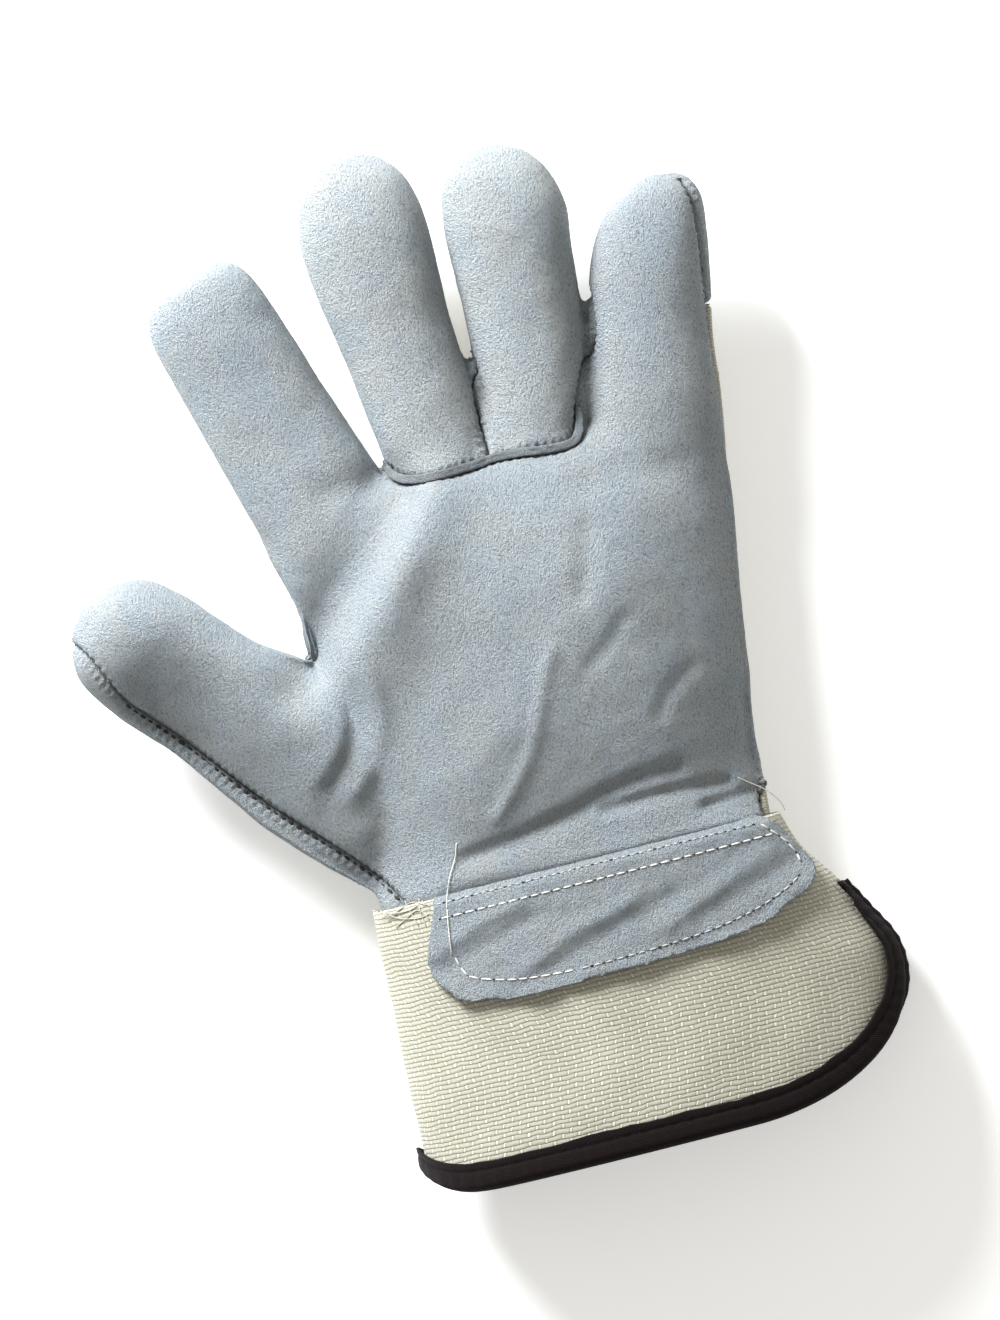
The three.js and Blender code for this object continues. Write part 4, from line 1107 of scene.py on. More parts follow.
def welt_sheet(bm, height):
    """The cut edge of the leather strip that stands in the finger base seam."""
    line = smooth_line(FINGER_BASE_SEAM, WELT_STEP)
    run = np.arange(len(line)) * WELT_STEP
    ahead = np.gradient(line, axis=0)
    ahead /= np.linalg.norm(ahead, axis=1)[:, None]
    aside = np.stack([ahead[:, 1], -ahead[:, 0]], axis=1)
    shoulders = [
        [height(*(point + side * offset)) for point, side in zip(line, aside)]
        for offset in (-WELT_SHOULDER, WELT_SHOULDER)
    ]
    top = smoothed(np.mean(shoulders, axis=0), 9)
    ends = smoothstep(run, -3, WELT_FADE) * smoothstep(run[-1] - run, -3, WELT_FADE)
    half = WELT_WIDTH / 2 * (0.5 + 0.5 * ends)
    points = np.zeros((len(line), len(WELT_PROFILE), 3))
    wave = [0.25 * noise.noise(Vector((x / 5, 3, 1))) for x in run]
    for i, (across, up) in enumerate(WELT_PROFILE):
        rough = [0.22 * noise.noise(Vector((x / 1.3, across * 2.1, 9))) for x in run]
        points[:, i, :2] = line + aside * (across * half + rough + wave)[:, None]
        points[:, i, 2] = top + up * (0.4 + 0.6 * ends) + rough
    skin(bm, points)
    bmesh.ops.holes_fill(bm, edges=bm.edges, sides=0)
    bmesh.ops.recalc_face_normals(bm, faces=bm.faces)


# The patch's cut outline on the plan, from its top edge at the thumb's side round its lower edge
PATCH_OUTLINE = [
    (-39.1, 1.2), (-40.3, -2.7), (-41.6, -6.5), (-44, -11.9), (-45.2, -16), (-44.4, -20), (-42.3, -23.5),
    (-39.6, -27.2), (-36.5, -28.5), (-30.6, -29.1), (-23.5, -30.4), (-8.7, -30.2), (10.2, -29.8),
    (31.5, -28.8), (37.1, -28), (44.6, -26.6), (52.6, -23.1), (58.3, -20.6), (60.2, -17.8), (60.3, -14.8),
    (58, -10.3), (55.3, -5.8), (51.5, -1), (48, 1.2),
]
PATCH_GAP = 0.45  # between the canvas and the patch
PATCH_THICKNESS = 1.5
PATCH_STEP = 0.8
PATCH_ROUNDING = 2.6  # how far the turned top edge bends down
PATCH_WAVES = [(0.2, 3.5)]
PATCH_LIFT, PATCH_LIFT_WAVE = 0.3, 0.9  # how far its lower edge stands off the cuff, and how unevenly
PATCH_LIFT_WIDTH = 9
PATCH_WRINKLES = {
    "from the thumb's corner": Fold(0.7, 2.5, 1.8, [(-44, -15), (-30, -9), (-18, -6.5)]),
    "beside it": Fold(-0.5, 2, 2.5, [(-40, -19), (-26, -13.5), (-12, -10.5)]),
    "across the middle": Fold(0.55, 3, 2.2, [(-22, -24), (-6, -17), (12, -12.5)]),
    "hollow under it": Fold(-0.6, 2.5, 3, [(-14, -25), (2, -20), (22, -14)]),
    "to the far corner": Fold(0.5, 2.5, 2, [(18, -22), (34, -15), (50, -9)]),
    "far hollow": Fold(-0.5, 2.5, 2.5, [(28, -22), (42, -17), (56, -13)]),
}


def over_cuff(points, layer):
    """Heights at places of the plan of the layer over the cuff's front."""
    x, y = points[:, 0], points[:, 1]
    share = np.clip(-y / CUFF_LENGTH, 0, 1)
    left, right, top, _, split = [between(CUFF_SECTIONS, column, share) for column in CuffSection._fields[1:]]
    left, right = left * HAND.width / 2 + layer, right * HAND.width / 2 + layer
    across = np.clip((x - (right - left) / 2) / ((left + right) / 2), -1, 1)
    rise = (1 - np.abs(across) ** TOP_POWER) ** (1 / TOP_POWER)
    return SIDE_HEIGHT * (1 - (1 + across) / 2 * (1 - split)) + (HAND.crown * top + layer) * rise


PATCH_CUT_WAVES = [(0.35, 1.7), (0.5, 6)]  # of its cut edge


def inside_outline(outline):
    """Positive inside a cut edge that follows an outline unevenly."""
    ring = [*outline, outline[0]]

    def level(points):
        return wavy(points, PATCH_CUT_WAVES) - line_distance(points, ring)[0]

    return level


def patch_sheet(bm):
    """The wrist patch, cut to its outline and laid over the top of the cuff."""
    outline = np.array(PATCH_OUTLINE)
    low, high = outline.min(axis=0) - 2, outline.max(axis=0) + 2
    columns, rows = ((high - low) / PATCH_STEP).astype(int) + 1
    x = np.linspace(low[0], high[0], columns)[:, None]
    y = np.linspace(low[1], high[1], rows)[None, :]
    flat = np.stack([*np.broadcast_arrays(x, y), np.zeros((columns, rows))], axis=-1)
    skin(bm, flat)
    level = inside_outline(outline)
    cut_along(bm, level)
    centres = np.array([face.calc_center_median() for face in bm.faces])
    outside = [face for face, value in zip(bm.faces, level(centres)) if value < 0]
    bmesh.ops.delete(bm, geom=outside, context="FACES")
    loose = [vert for vert in bm.verts if not vert.link_faces]
    bmesh.ops.delete(bm, geom=loose, context="VERTS")
    points = coordinates(bm)
    z = over_cuff(points, CUFF_OUTER + PATCH_GAP + PATCH_THICKNESS)
    for fold in PATCH_WRINKLES.values():
        signed, _ = line_distance(points, smooth_line(fold.line, 2.0))
        z += fold.height * np.exp(-((signed / np.where(signed > 0, fold.right, fold.left)) ** 2))
    edge = level(points)
    waves = [noise.noise(Vector((point[0], point[1], 40)) / PATCH_LIFT_WIDTH) for point in points]
    lifted = PATCH_LIFT + PATCH_LIFT_WAVE * np.array(waves)
    z += lifted * (1 - smoothstep(edge, 0, 5)) * smoothstep(-points[:, 1], 4, 10)
    z -= PATCH_ROUNDING * (1 - np.sqrt(1 - smoothstep(points[:, 1], -3.2, 0.6) ** 2))
    z += wavy(points, PATCH_WAVES)
    for vert, height in zip(bm.verts, z):
        vert.co.z = height
    bmesh.ops.recalc_face_normals(bm, faces=bm.faces)
    if sum(face.normal.z for face in bm.faces) < 0:
        bmesh.ops.reverse_faces(bm, faces=bm.faces)


def stitch(bm, start, end, radius):
    """One stitch: a thread that bows up between two holes."""
    run = end - start
    turn = run.to_track_quat("X", "Z").to_matrix().to_4x4()
    size = Matrix.Diagonal((run.length / 2, radius, radius, 1))
    place = Matrix.Translation((start + end) / 2) @ turn @ size
    bmesh.ops.create_uvsphere(bm, u_segments=10, v_segments=8, radius=1, matrix=place)


ROW_STEP = 0.2
HOLE_LENGTH = 0.38  # half of a hole's share of the gap between two stitches
HIDDEN_SHARE = 0.2  # a row whose stitches are no longer than this share shows its holes alone
SHORTEST_GAP = 0.2


def stitch_row(bm, holes, line, height, spacing, share, radius):
    """A row of stitches on top of some pieces, with a blob of painted shade for the hole in the leather
    between one stitch and the next.
    """
    path = smooth_line(line, ROW_STEP)
    along = 0.0
    last = (len(path) - 1) * ROW_STEP
    number = 0
    while along + spacing < last:
        number += 1
        chance = noise.noise(Vector((number * 1.37, spacing, share * 5)))
        step = spacing * (1 + 0.25 * chance)
        places = [along, along + share * step, along + step]
        spots = [path[min(round(place / ROW_STEP), len(path) - 1)] for place in places]
        first, second, third = [Vector((*spot, height(*spot))) for spot in spots]
        if share > HIDDEN_SHARE:
            proud = Vector((0, 0, radius * 0.2))
            stitch(bm, first + proud, second + proud, radius)
        size = radius * (0.9 + 0.8 * chance)
        if (third - second).length > SHORTEST_GAP:
            near, far = 0.5 - HOLE_LENGTH, 0.5 + HOLE_LENGTH
            stitch(holes, second.lerp(third, near), second.lerp(third, far), size)
        along += step


def tube(bm, points, radius, sides=8):
    """A thread along points in space."""
    points = np.array(points, float)
    ahead = np.gradient(points, axis=0)
    rings = []
    for point, way in zip(points, ahead):
        turn = Vector(way).to_track_quat("Z", "Y")
        rings.append([
            Vector(point) + turn @ Vector((radius * math.cos(t), radius * math.sin(t), 0))
            for t in np.linspace(0, 2 * math.pi, sides, endpoint=False)
        ])
    skin(bm, np.array(rings), closed=True)
    bmesh.ops.holes_fill(bm, edges=bm.edges, sides=sides)


THUMB_STITCHES = [(-106, 69.6), (-104, 67), (-94, 56), (-84, 43), (-74, 31), (-64, 21), (-54, 10), (-48, 1)]
ROW_UPPER = [(-39, -1.5), (-10, -1.2), (20, -1.1), (50, -1.4)]
ROW_LOWER = [(-41.8, -5.4), (-10, -5.2), (20, -5.1), (53, -5.0)]
ROW_OUTLINE_CORNER = [
    (-37.6, -16.2), (-36.8, -19.5), (-35.6, -22), (-31, -23.7), (-24, -25.6), (-14, -26.6), (-6, -26.8)
]
ROW_OUTLINE_BOTTOM = [
    (-6, -26.8), (2, -26.8), (18, -26.3), (31, -25.3), (42, -23.2), (50, -20.4), (55.5, -17.6), (57, -14.9),
]
ROW_OUTLINE_RIGHT = [(49, -1.8), (53.6, -6.5), (56.4, -11), (57.2, -15.5)]
THREAD_DOWN = [(-36.6, -3.4), (-37.6, -9), (-38.3, -15.2)]
THREAD_TAIL = [(-36.6, -3.4), (-36.2, -1.2), (-35.4, 1.2), (-33.8, 5), (-31.3, 9), (-30, 13)]
THREAD_RIGHT = [(46.2, 11.5), (48.7, 9.6), (51.8, 7.3), (54, 5.2), (56, 2.2), (56.4, 0)]
THREAD_DROOP = 0.5  # the most that a loose end slopes down
THREAD_STEP = 0.8
# Yarns that have come loose at the canvas's cut top edge, with the places of their ends on the plan
FRAYED = [
    [(-56, 0.8), (-52, -1.2), (-46, -1.6), (-42, 0.4)],
    [(-54, 0.4), (-50, -3), (-44, -4.2), (-41.5, -3.4)],
    [(-53, -2.2), (-49, -0.6), (-45, 0.9), (-41.5, -1.2)],
    [(-51, -5), (-47.5, -3.2), (-44, -1.2), (-41.8, -5)],
    [(-47, 1.3), (-46, -3), (-45, -6)],
    [(-43.2, 1), (-43.8, -3), (-43, -6.5)],
]


def lay_thread(bm, line, height, radius, lift=0.0):
    """A loose thread that lies on the glove, and stands out stiffly past its edge."""
    path = smooth_line(line, THREAD_STEP)
    tops = smoothed(np.array([height(*point) for point in path]), 3)
    steps = np.arange(len(path))
    tops = np.max(tops - THREAD_DROOP * THREAD_STEP * np.abs(steps[:, None] - steps), axis=1)
    bows = lift * np.sin(np.linspace(0, math.pi, len(path)))
    tube(bm, np.column_stack([path, tops + radius * 0.8 + bows]), radius)


KNOT_HIGHLIGHT_SHARE = 0.5  # how strongly the painted highlight shows on a knot of the warp
KNOT_HEIGHT = 1.7
WEAVE_RELIEF = 0.22


def woven(name, base, hollow, knot_highlight, warp, weft, place="weave"):
    """Plain-woven cotton: thick soft yarns across, and thin tight ones that show as small bright knots, with
    painted shade in the low places between the yarns and painted highlights on the knots.
    """
    material, tree = fresh_material(name)
    if place == "weave":
        spot = node(tree, "Attribute", attribute_name="weave").outputs["Vector"]
    else:
        metres = node(tree, "TexCoord").outputs["Object"]
        spot = node(tree, "VectorMath", [metres, (1 / MM,) * 3], operation="MULTIPLY")
    drift = node(tree, "TexNoise", {"Vector": spot, "Scale": 0.16, "Detail": 2.0}).outputs["Color"]
    shake = node(tree, "TexNoise", {"Vector": spot, "Scale": 0.9, "Detail": 1.0}).outputs["Color"]
    spot = node(tree, "VectorMath", [drift, (2.2, 1.4, 0.0), spot], operation="MULTIPLY_ADD")
    spot = node(tree, "VectorMath", [shake, (0.35, 0.12, 0.0), spot], operation="MULTIPLY_ADD")
    yarns = node(tree, "VectorMath", [spot, (MM / warp, MM / weft, 1.0)], operation="MULTIPLY")
    parts = node(tree, "SeparateXYZ", [yarns]).outputs
    column, row = [node(tree, "Math", [parts[key]], operation="FLOOR") for key in "XY"]
    counted = node(tree, "Math", [column, row], operation="ADD")
    over = node(tree, "Math", [counted, 2.0], operation="FLOORED_MODULO")
    within_column, within_row = [node(tree, "Math", [parts[key]], operation="FRACT") for key in "XY"]
    off_middle = node(tree, "Math", [within_column, 0.5], operation="SUBTRACT")
    off_row = node(tree, "Math", [within_row, 0.5], operation="SUBTRACT")
    from_middle, from_row = [node(tree, "Math", [off], operation="ABSOLUTE") for off in (off_middle, off_row)]
    knot_wide = node(tree, "MapRange", [from_middle, 0.07, 0.2, 1.0, 0.0])
    knot_tall = node(tree, "MapRange", [from_row, 0.3, 0.55, 1.0, 0.0])
    knot_form = node(tree, "Math", [knot_wide, knot_tall], operation="MULTIPLY")
    knot = node(tree, "Math", [knot_form, over], operation="MULTIPLY")
    row_turn = node(tree, "Math", [off_row, 3.0], operation="MULTIPLY")
    row_round = node(tree, "Math", [row_turn], operation="COSINE")
    yarn = node(tree, "Math", [row_round], operation="SQRT")
    pinch = node(tree, "MapRange", [from_middle, 0.08, 0.4, 0.45, 0.0])
    sunk = node(tree, "Math", [pinch, over], operation="MULTIPLY")
    streaked = node(tree, "VectorMath", [spot, (0.5, 7.0, 1.0)], operation="MULTIPLY")
    fibres = node(tree, "TexNoise", {"Vector": streaked, "Scale": 1.0, "Detail": 2.0})
    fibrous = node(tree, "Math", [fibres, 0.5, yarn], operation="MULTIPLY_ADD")
    weft_height = node(tree, "Math", [fibrous, sunk], operation="SUBTRACT")
    knot_height = node(tree, "Math", [knot, KNOT_HEIGHT], operation="MULTIPLY")
    height = node(tree, "Math", [weft_height, knot_height], operation="MAXIMUM")
    # Painted shade: the canvas goes from its own colour to its shade colour in the low places of the weave
    lit = node(tree, "MapRange", [height, 0.45, 1.25])
    body = node(tree, "Mix", {0: lit, 6: hollow, 7: base}, data_type="RGBA").outputs[2]
    patches = node(tree, "TexNoise", {"Vector": spot, "Scale": 0.06, "Detail": 3.0})
    worn = node(tree, "MapRange", [patches, 0.35, 0.65, 0.0, 0.35])
    duller = node(tree, "Mix", {0: 0.5, 6: body, 7: hollow}, data_type="RGBA").outputs[2]
    toned = node(tree, "Mix", {0: worn, 6: body, 7: duller}, data_type="RGBA").outputs[2]
    # Painted highlight: the raised knots of the warp go to a pale colour
    knot_highlight_share = node(tree, "Math", [knot, KNOT_HIGHLIGHT_SHARE], operation="MULTIPLY")
    tinted = node(tree, "Mix", {0: knot_highlight_share, 6: toned, 7: knot_highlight}, data_type="RGBA").outputs[2]
    bump = node(tree, "Bump", {"Strength": 0.8, "Distance": WEAVE_RELIEF * MM, "Height": height})
    surface = node(tree, "BsdfPrincipled", {
        "Base Color": tinted,
        "Roughness": 0.92,
        "Specular IOR Level": 0.2,
        "Sheen Weight": 0.15,
        "Normal": bump,
    })
    node(tree, "OutputMaterial", [surface])
    return material


TWILL_SLANT = math.radians(35)
TAPE_RELIEF = 0.15
TAPE_LINT = "#4A3833"


def cotton_tape(name, base):
    """Dark cotton tape in a fine twill: slanted ribs that catch a little light."""
    material, tree = fresh_material(name)
    spot = node(tree, "Attribute", attribute_name="weave").outputs["Vector"]
    slant = node(tree, "Mapping", {"Vector": spot, "Rotation": (0.0, 0.0, TWILL_SLANT)})
    ribs = node(tree, "TexWave", {
        "Vector": slant, "Scale": 0.55, "Distortion": 1.2, "Detail": 2.0, "Detail Scale": 2.0,
    }).outputs["Fac"]
    lint = node(tree, "TexNoise", {"Vector": spot, "Scale": 2.4, "Detail": 3.0})
    fluff = node(tree, "MapRange", [lint, 0.55, 0.8, 0.0, 0.3])
    tinted = node(tree, "Mix", {0: fluff, 6: base, 7: linear(TAPE_LINT)}, data_type="RGBA").outputs[2]
    height = node(tree, "Math", [ribs, lint], operation="ADD")
    bump = node(tree, "Bump", {"Strength": 0.7, "Distance": TAPE_RELIEF * MM, "Height": height})
    surface = node(tree, "BsdfPrincipled", {
        "Base Color": tinted,
        "Roughness": 0.9,
        "Specular IOR Level": 0.12,
        "Sheen Weight": 0.03,
        "Normal": bump,
    })
    node(tree, "OutputMaterial", [surface])
    return material


THREAD_TWIST = 1.5  # width of the changes of tone along a thread
THREAD_SHADE = 0.6  # how bright its darker places are


def plain_thread(name, base):
    """Twisted cotton thread, matt and a little uneven in tone."""
    material, tree = fresh_material(name)
    place = node(tree, "TexCoord").outputs["Object"]
    tone = node(tree, "TexNoise", {"Vector": place, "Scale": 1 / (THREAD_TWIST * MM), "Detail": 2.0})
    share = node(tree, "MapRange", [tone, 0.4, 0.7, 0.0, 0.5])
    darker = [channel * THREAD_SHADE for channel in base[:3]] + [1.0]
    tinted = node(tree, "Mix", {0: share, 6: base, 7: darker}, data_type="RGBA").outputs[2]
    surface = node(tree, "BsdfPrincipled", {"Base Color": tinted, "Roughness": 0.85})
    node(tree, "OutputMaterial", [surface])
    return material


class GLOVE_OT_form(bpy.types.Operator):
    """Shapes the hand that the leather and canvas pieces are cut from"""

    bl_idname = "glove.form"
    bl_label = "Shape the hand"

    def execute(self, context):
        bm = shape_hand()
        mark_pieces(bm)
        mesh = bpy.data.meshes.new(FORM_MESH)
        bm.to_mesh(mesh)
        bm.free()
        return {"FINISHED"}


def leather_piece(context, name, material):
    """One sewn piece of the hand's leather, in place of the CAD node of its name."""
    leather = context.scene.glove_leather
    bm = piece_of_hand(name)
    sew_edges(bm, leather.roll / MM, leather.pitch / MM, leather.pucker / MM)
    return finish_piece(bm, f"{name}_suede", material, [name], leather.thickness)


class GLOVE_OT_palm(bpy.types.Operator):
    """Palm, index finger, little finger and thumb in one piece of blue-grey leather"""

    bl_idname = "glove.palm"
    bl_label = "Palm leather"

    def execute(self, context):
        leather = context.scene.glove_leather
        material = suede("suede_blue_grey", leather.palm, leather.shade, leather.nap)
        leather_piece(context, "palm_leather", material)
        leather_piece(context, "thumb_back", material)
        return {"FINISHED"}


class GLOVE_OT_fingers(bpy.types.Operator):
    """Fronts of the two middle fingers and the leather backs of the fingertips"""

    bl_idname = "glove.fingers"
    bl_label = "Finger leather"

    def execute(self, context):
        leather = context.scene.glove_leather
        material = suede("suede_pale_grey", leather.fingers, leather.shade, leather.nap)
        leather_piece(context, "middle_finger_front", material)
        leather_piece(context, "ring_finger_front", material)
        back = bpy.data.materials["suede_blue_grey"]
        for name in FINGERS:
            leather_piece(context, f"{name}_tip_back", back)
        return {"FINISHED"}


CANVAS_ROLL = 1.2  # sewn edge of the canvas: how deep it rolls in, and its puckers' distance and depth
CANVAS_PITCH = 2.4
CANVAS_PUCKER = 0.2
FINE_YARN = 0.8
# Painted highlights: colours of the raised knots of the fine and the coarse canvas
FINE_KNOT_HIGHLIGHT = "#D6D3C5"
COARSE_KNOT_HIGHLIGHT = "#DCD9CC"


class GLOVE_OT_back(bpy.types.Operator):
    """Canvas back of the hand and the fingers"""

    bl_idname = "glove.back"
    bl_label = "Canvas back"

    def execute(self, context):
        canvas = context.scene.glove_canvas
        bm = piece_of_hand("canvas_back")
        sew_edges(bm, CANVAS_ROLL, CANVAS_PITCH, CANVAS_PUCKER)
        yarn, knot = FINE_YARN * MM, linear(FINE_KNOT_HIGHLIGHT)
        material = woven("canvas_fine", canvas.natural, canvas.hollow, knot, yarn, yarn, "object")
        finish_piece(bm, "canvas_back_cloth", material, ["canvas_back"], canvas.thickness)
        return {"FINISHED"}


class GLOVE_OT_welt(bpy.types.Operator):
    """Cut edge of the leather strip in the finger base seam"""

    bl_idname = "glove.welt"
    bl_label = "Finger base seam"

    def execute(self, context):
        leather = context.scene.glove_leather
        bm = bmesh.new()
        fronts = [f"{name}_suede" for name in ("palm_leather", "middle_finger_front", "ring_finger_front")]
        welt_sheet(bm, on_top([bpy.data.objects[name] for name in fronts]))
        material = suede("suede_cut_edge", leather.welt, leather.shade, 0.6 * leather.nap)
        finish_piece(bm, "finger_base_strip", material, ["finger_base_welt"])
        return {"FINISHED"}


class GLOVE_OT_cuff(bpy.types.Operator):
    """Coarse canvas safety cuff"""

    bl_idname = "glove.cuff"
    bl_label = "Safety cuff"

    def execute(self, context):
        canvas = context.scene.glove_canvas
        bm = bmesh.new()
        cuff_sheet(bm)
        knot = linear(COARSE_KNOT_HIGHLIGHT)
        material = woven("canvas_coarse", canvas.natural, canvas.hollow, knot, canvas.warp, canvas.weft)
        finish_piece(bm, "cuff_canvas", material, ["cuff"], canvas.thickness)
        return {"FINISHED"}


class GLOVE_OT_binding(bpy.types.Operator):
    """Dark tape folded over the cuff's edge"""

    bl_idname = "glove.binding"
    bl_label = "Tape"

    def execute(self, context):
        canvas = context.scene.glove_canvas
        bm = bmesh.new()
        tape_sheet(bm)
        material = cotton_tape("cotton_tape_dark", canvas.binding)
        finish_piece(bm, "cuff_tape", material, ["cuff_binding"], TAPE_THICKNESS * MM)
        return {"FINISHED"}


class GLOVE_OT_patch(bpy.types.Operator):
    """Leather patch over the join of palm and cuff"""

    bl_idname = "glove.patch"
    bl_label = "Wrist patch"

    def execute(self, context):
        leather = context.scene.glove_leather
        bm = bmesh.new()
        patch_sheet(bm)
        material = suede("suede_patch", leather.patch, leather.shade, leather.nap)
        finish_piece(bm, "wrist_patch_suede", material, ["wrist_patch"], PATCH_THICKNESS * MM)
        return {"FINISHED"}


UNDER_STITCHES = [
    "wrist_patch_suede", "palm_leather_suede", "thumb_back_suede", "cuff_canvas", "canvas_back_cloth",
]
FRAYED_RADIUS = 0.13
TAPE_THREAD_RADIUS = 0.2
TAPE_THREAD = "#8A7A72"
TAPE_THREAD_SINK = 0.5  # below the tape's faces, where its stitches draw them in
TAPE_THREAD_PROUD = 0.2
TAPE_THREAD_STEP = 0.25
TAPE_THREAD_SHARE = 0.75  # of a stitch's pitch that its thread takes
THUMB_HOLE_RADIUS = 0.42


class GLOVE_OT_stitching(bpy.types.Operator):
    """Stitches of the patch and the tape, and the loose ends of thread"""

    bl_idname = "glove.stitching"
    bl_label = "Stitching"

    def execute(self, context):
        thread, leather = context.scene.glove_thread, context.scene.glove_leather
        radius = thread.diameter / MM / 2
        spacing = thread.stitch / MM
        height = on_top([bpy.data.objects[name] for name in UNDER_STITCHES])
        white, rubbed, holes, loose, frayed, tape = [bmesh.new() for _ in range(6)]
        stitch_row(rubbed, holes, ROW_UPPER, height, spacing * 0.8, 0.5, radius)
        stitch_row(white, holes, ROW_LOWER, height, spacing, 0.72, radius)
        stitch_row(white, holes, ROW_OUTLINE_CORNER, height, spacing * 1.1, 0.8, radius)
        stitch_row(rubbed, holes, ROW_OUTLINE_BOTTOM, height, spacing, 0.6, radius)
        stitch_row(white, holes, ROW_OUTLINE_RIGHT, height, spacing, 0.8, radius * 1.2)
        for line in (THREAD_DOWN, THREAD_TAIL, THREAD_RIGHT):
            lay_thread(loose, line, height, radius * 0.55, 0.4)
        for line in FRAYED:
            lay_thread(frayed, line, height, FRAYED_RADIUS, 0.1)

        path = tape_path()
        reach = np.full(path.y.shape, TAPE_SEAM)
        y = path.y + reach * path.inward_y
        run = run_at(path, y, reach)
        # The thumb's seam shows its holes alone, as blobs of painted shade
        stitch_row(rubbed, holes, THUMB_STITCHES, height, leather.pitch / MM, 0.1, THUMB_HOLE_RADIUS)
        per = round(TAPE_STITCH / TAPE_THREAD_STEP)
        for face, side in zip(TAPE_LAYERS, (1, -1)):
            layer = face - TAPE_THREAD_SINK * side
            points = cuff_points(run, y, layer + TAPE_THREAD_PROUD * side)[:, 0]
            line = smooth_line(points, TAPE_THREAD_STEP)
            for i in range(0, len(line) - per, per):
                end = line[i + round(per * TAPE_THREAD_SHARE)]
                stitch(tape, Vector(line[i]), Vector(end), TAPE_THREAD_RADIUS)
        cotton = plain_thread("cotton_thread", thread.white)
        yarn = plain_thread("canvas_yarn", context.scene.glove_canvas.natural)
        finish_piece(white, "patch_stitches", cotton)
        finish_piece(rubbed, "rubbed_stitches", plain_thread("cotton_thread_rubbed", thread.rubbed))
        finish_piece(loose, "thread_ends", cotton)
        # Painted shade: blobs of the hole colour where the stitch holes are
        finish_piece(holes, "stitch_holes", plain_thread("thread_in_shade", thread.hole_shade))
        finish_piece(frayed, "frayed_yarns", yarn)
        finish_piece(tape, "tape_stitches", plain_thread("tape_thread", linear(TAPE_THREAD)))
        return {"FINISHED"}


VIEW_MIDDLE = (11.85, -3.3)  # where the camera looks, in the frame
FLOOR_HALF = 4  # metres from the floor's middle to its sides
SENSOR_HEIGHT = 36
LIGHT_COLOUR = "#F7FBFF"
SKY_COLOUR = "#FFFCF6"

# Soft lights: place in metres, diameter, and power as a share of the key light
LIGHTS = [
    ("key", (-0.32, 0.7, 0.37), 0.4, 1.0),
    ("side", (0.9, -0.5, 0.9), 0.8, 0.04),
]


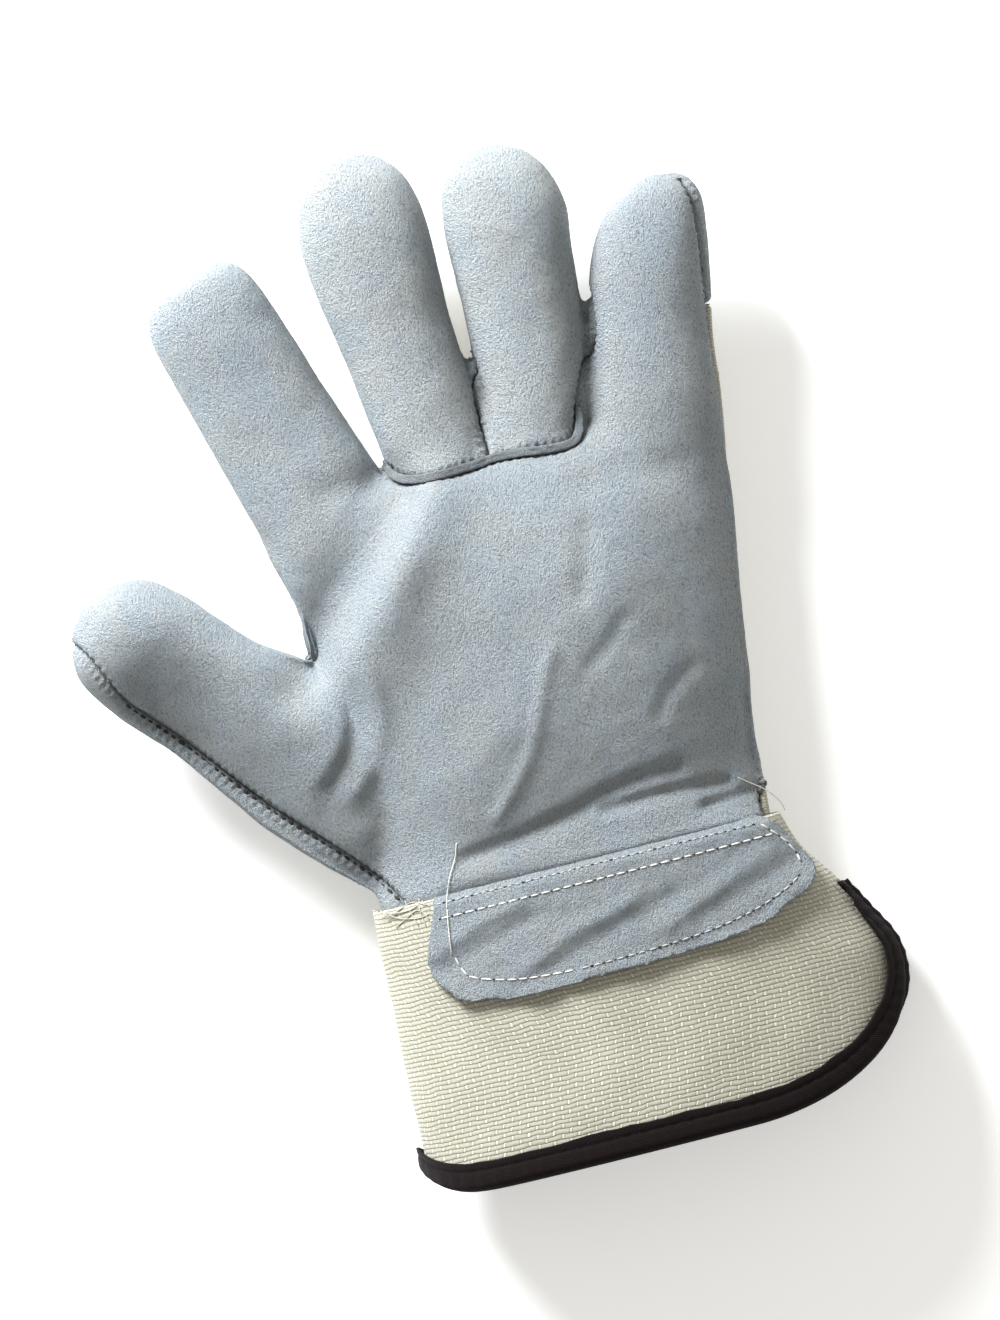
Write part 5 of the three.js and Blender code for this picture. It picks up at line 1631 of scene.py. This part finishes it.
class GLOVE_OT_stage(bpy.types.Operator):
    """Pale floor, soft studio light and the camera straight above"""

    bl_idname = "glove.stage"
    bl_label = "Stage"

    def execute(self, context):
        stage = context.scene.glove_stage
        bm = bmesh.new()
        bmesh.ops.create_grid(bm, x_segments=1, y_segments=1, size=FLOOR_HALF)
        mesh = bpy.data.meshes.new("floor")
        bm.to_mesh(mesh)
        bm.free()
        material, tree = fresh_material("paper_matt")
        surface = node(tree, "BsdfPrincipled", {
            "Base Color": stage.floor,
            "Roughness": 0.9,
            "Emission Color": stage.floor,
            "Emission Strength": stage.glow,
        })
        node(tree, "OutputMaterial", [surface])
        mesh.materials.append(material)
        floor = bpy.data.objects.new("floor", mesh)
        context.scene.collection.objects.link(floor)

        lens = bpy.data.cameras.new("camera")
        lens.sensor_fit = "VERTICAL"
        lens.sensor_height = SENSOR_HEIGHT
        lens.lens = lens.sensor_height * stage.distance / stage.view_height
        lens.clip_end = 20
        camera = bpy.data.objects.new("camera", lens)
        context.scene.collection.objects.link(camera)
        camera.location = (VIEW_MIDDLE[0] * MM, VIEW_MIDDLE[1] * MM, stage.distance + SIDE_HEIGHT * MM)
        camera.rotation_euler = (0, 0, stage.roll)
        context.scene.camera = camera

        for name, place, size, power in LIGHTS:
            lamp = bpy.data.lights.new(name, "AREA")
            lamp.shape = "DISK"
            lamp.size = size
            lamp.energy = power * stage.key
            lamp.color = linear(LIGHT_COLOUR)[:3]
            light = bpy.data.objects.new(name, lamp)
            light.location = place
            light.rotation_euler = (-Vector(place)).to_track_quat("-Z", "Y").to_euler()
            context.scene.collection.objects.link(light)

        world = bpy.data.worlds.new("studio")
        world.use_nodes = True
        sky = world.node_tree.nodes["Background"]
        sky.inputs["Color"].default_value = linear(SKY_COLOUR)
        sky.inputs["Strength"].default_value = stage.fill
        context.scene.world = world
        context.scene.view_settings.view_transform = "Standard"
        return {"FINISHED"}


class GLOVE_PT_panel(bpy.types.Panel):
    """Lists the glove's pieces and their sizes"""

    bl_idname = "GLOVE_PT_panel"
    bl_label = "Rigger glove"
    bl_space_type = "VIEW_3D"
    bl_region_type = "UI"
    bl_category = "Glove"

    def draw(self, context):
        for operator in OPERATORS:
            self.layout.operator(operator.bl_idname)
        for name in GROUPS:
            box = self.layout.box()
            settings = getattr(context.scene, name)
            for key in settings.bl_rna.properties.keys():
                if key not in ("rna_type", "name"):
                    box.prop(settings, key)


GROUPS = {
    "glove_leather": GloveLeather,
    "glove_canvas": GloveCanvas,
    "glove_thread": GloveThread,
    "glove_stage": GloveStage,
}
OPERATORS = [
    GLOVE_OT_stage, GLOVE_OT_form, GLOVE_OT_palm, GLOVE_OT_fingers, GLOVE_OT_back, GLOVE_OT_welt,
    GLOVE_OT_cuff, GLOVE_OT_binding, GLOVE_OT_patch, GLOVE_OT_stitching,
]


def register():
    for cls in [*GROUPS.values(), *OPERATORS, GLOVE_PT_panel]:
        bpy.utils.register_class(cls)
    for name, group in GROUPS.items():
        setattr(bpy.types.Scene, name, PointerProperty(type=group))


def unregister():
    for name in GROUPS:
        delattr(bpy.types.Scene, name)
    for cls in reversed([*GROUPS.values(), *OPERATORS, GLOVE_PT_panel]):
        bpy.utils.unregister_class(cls)


def main():
    register()
    bpy.ops.glove.stage()
    bpy.ops.glove.form()
    bpy.ops.glove.palm()
    bpy.ops.glove.fingers()
    bpy.ops.glove.back()
    bpy.ops.glove.welt()
    bpy.ops.glove.cuff()
    bpy.ops.glove.binding()
    bpy.ops.glove.patch()
    bpy.ops.glove.stitching()


if __name__ == "__main__":
    main()
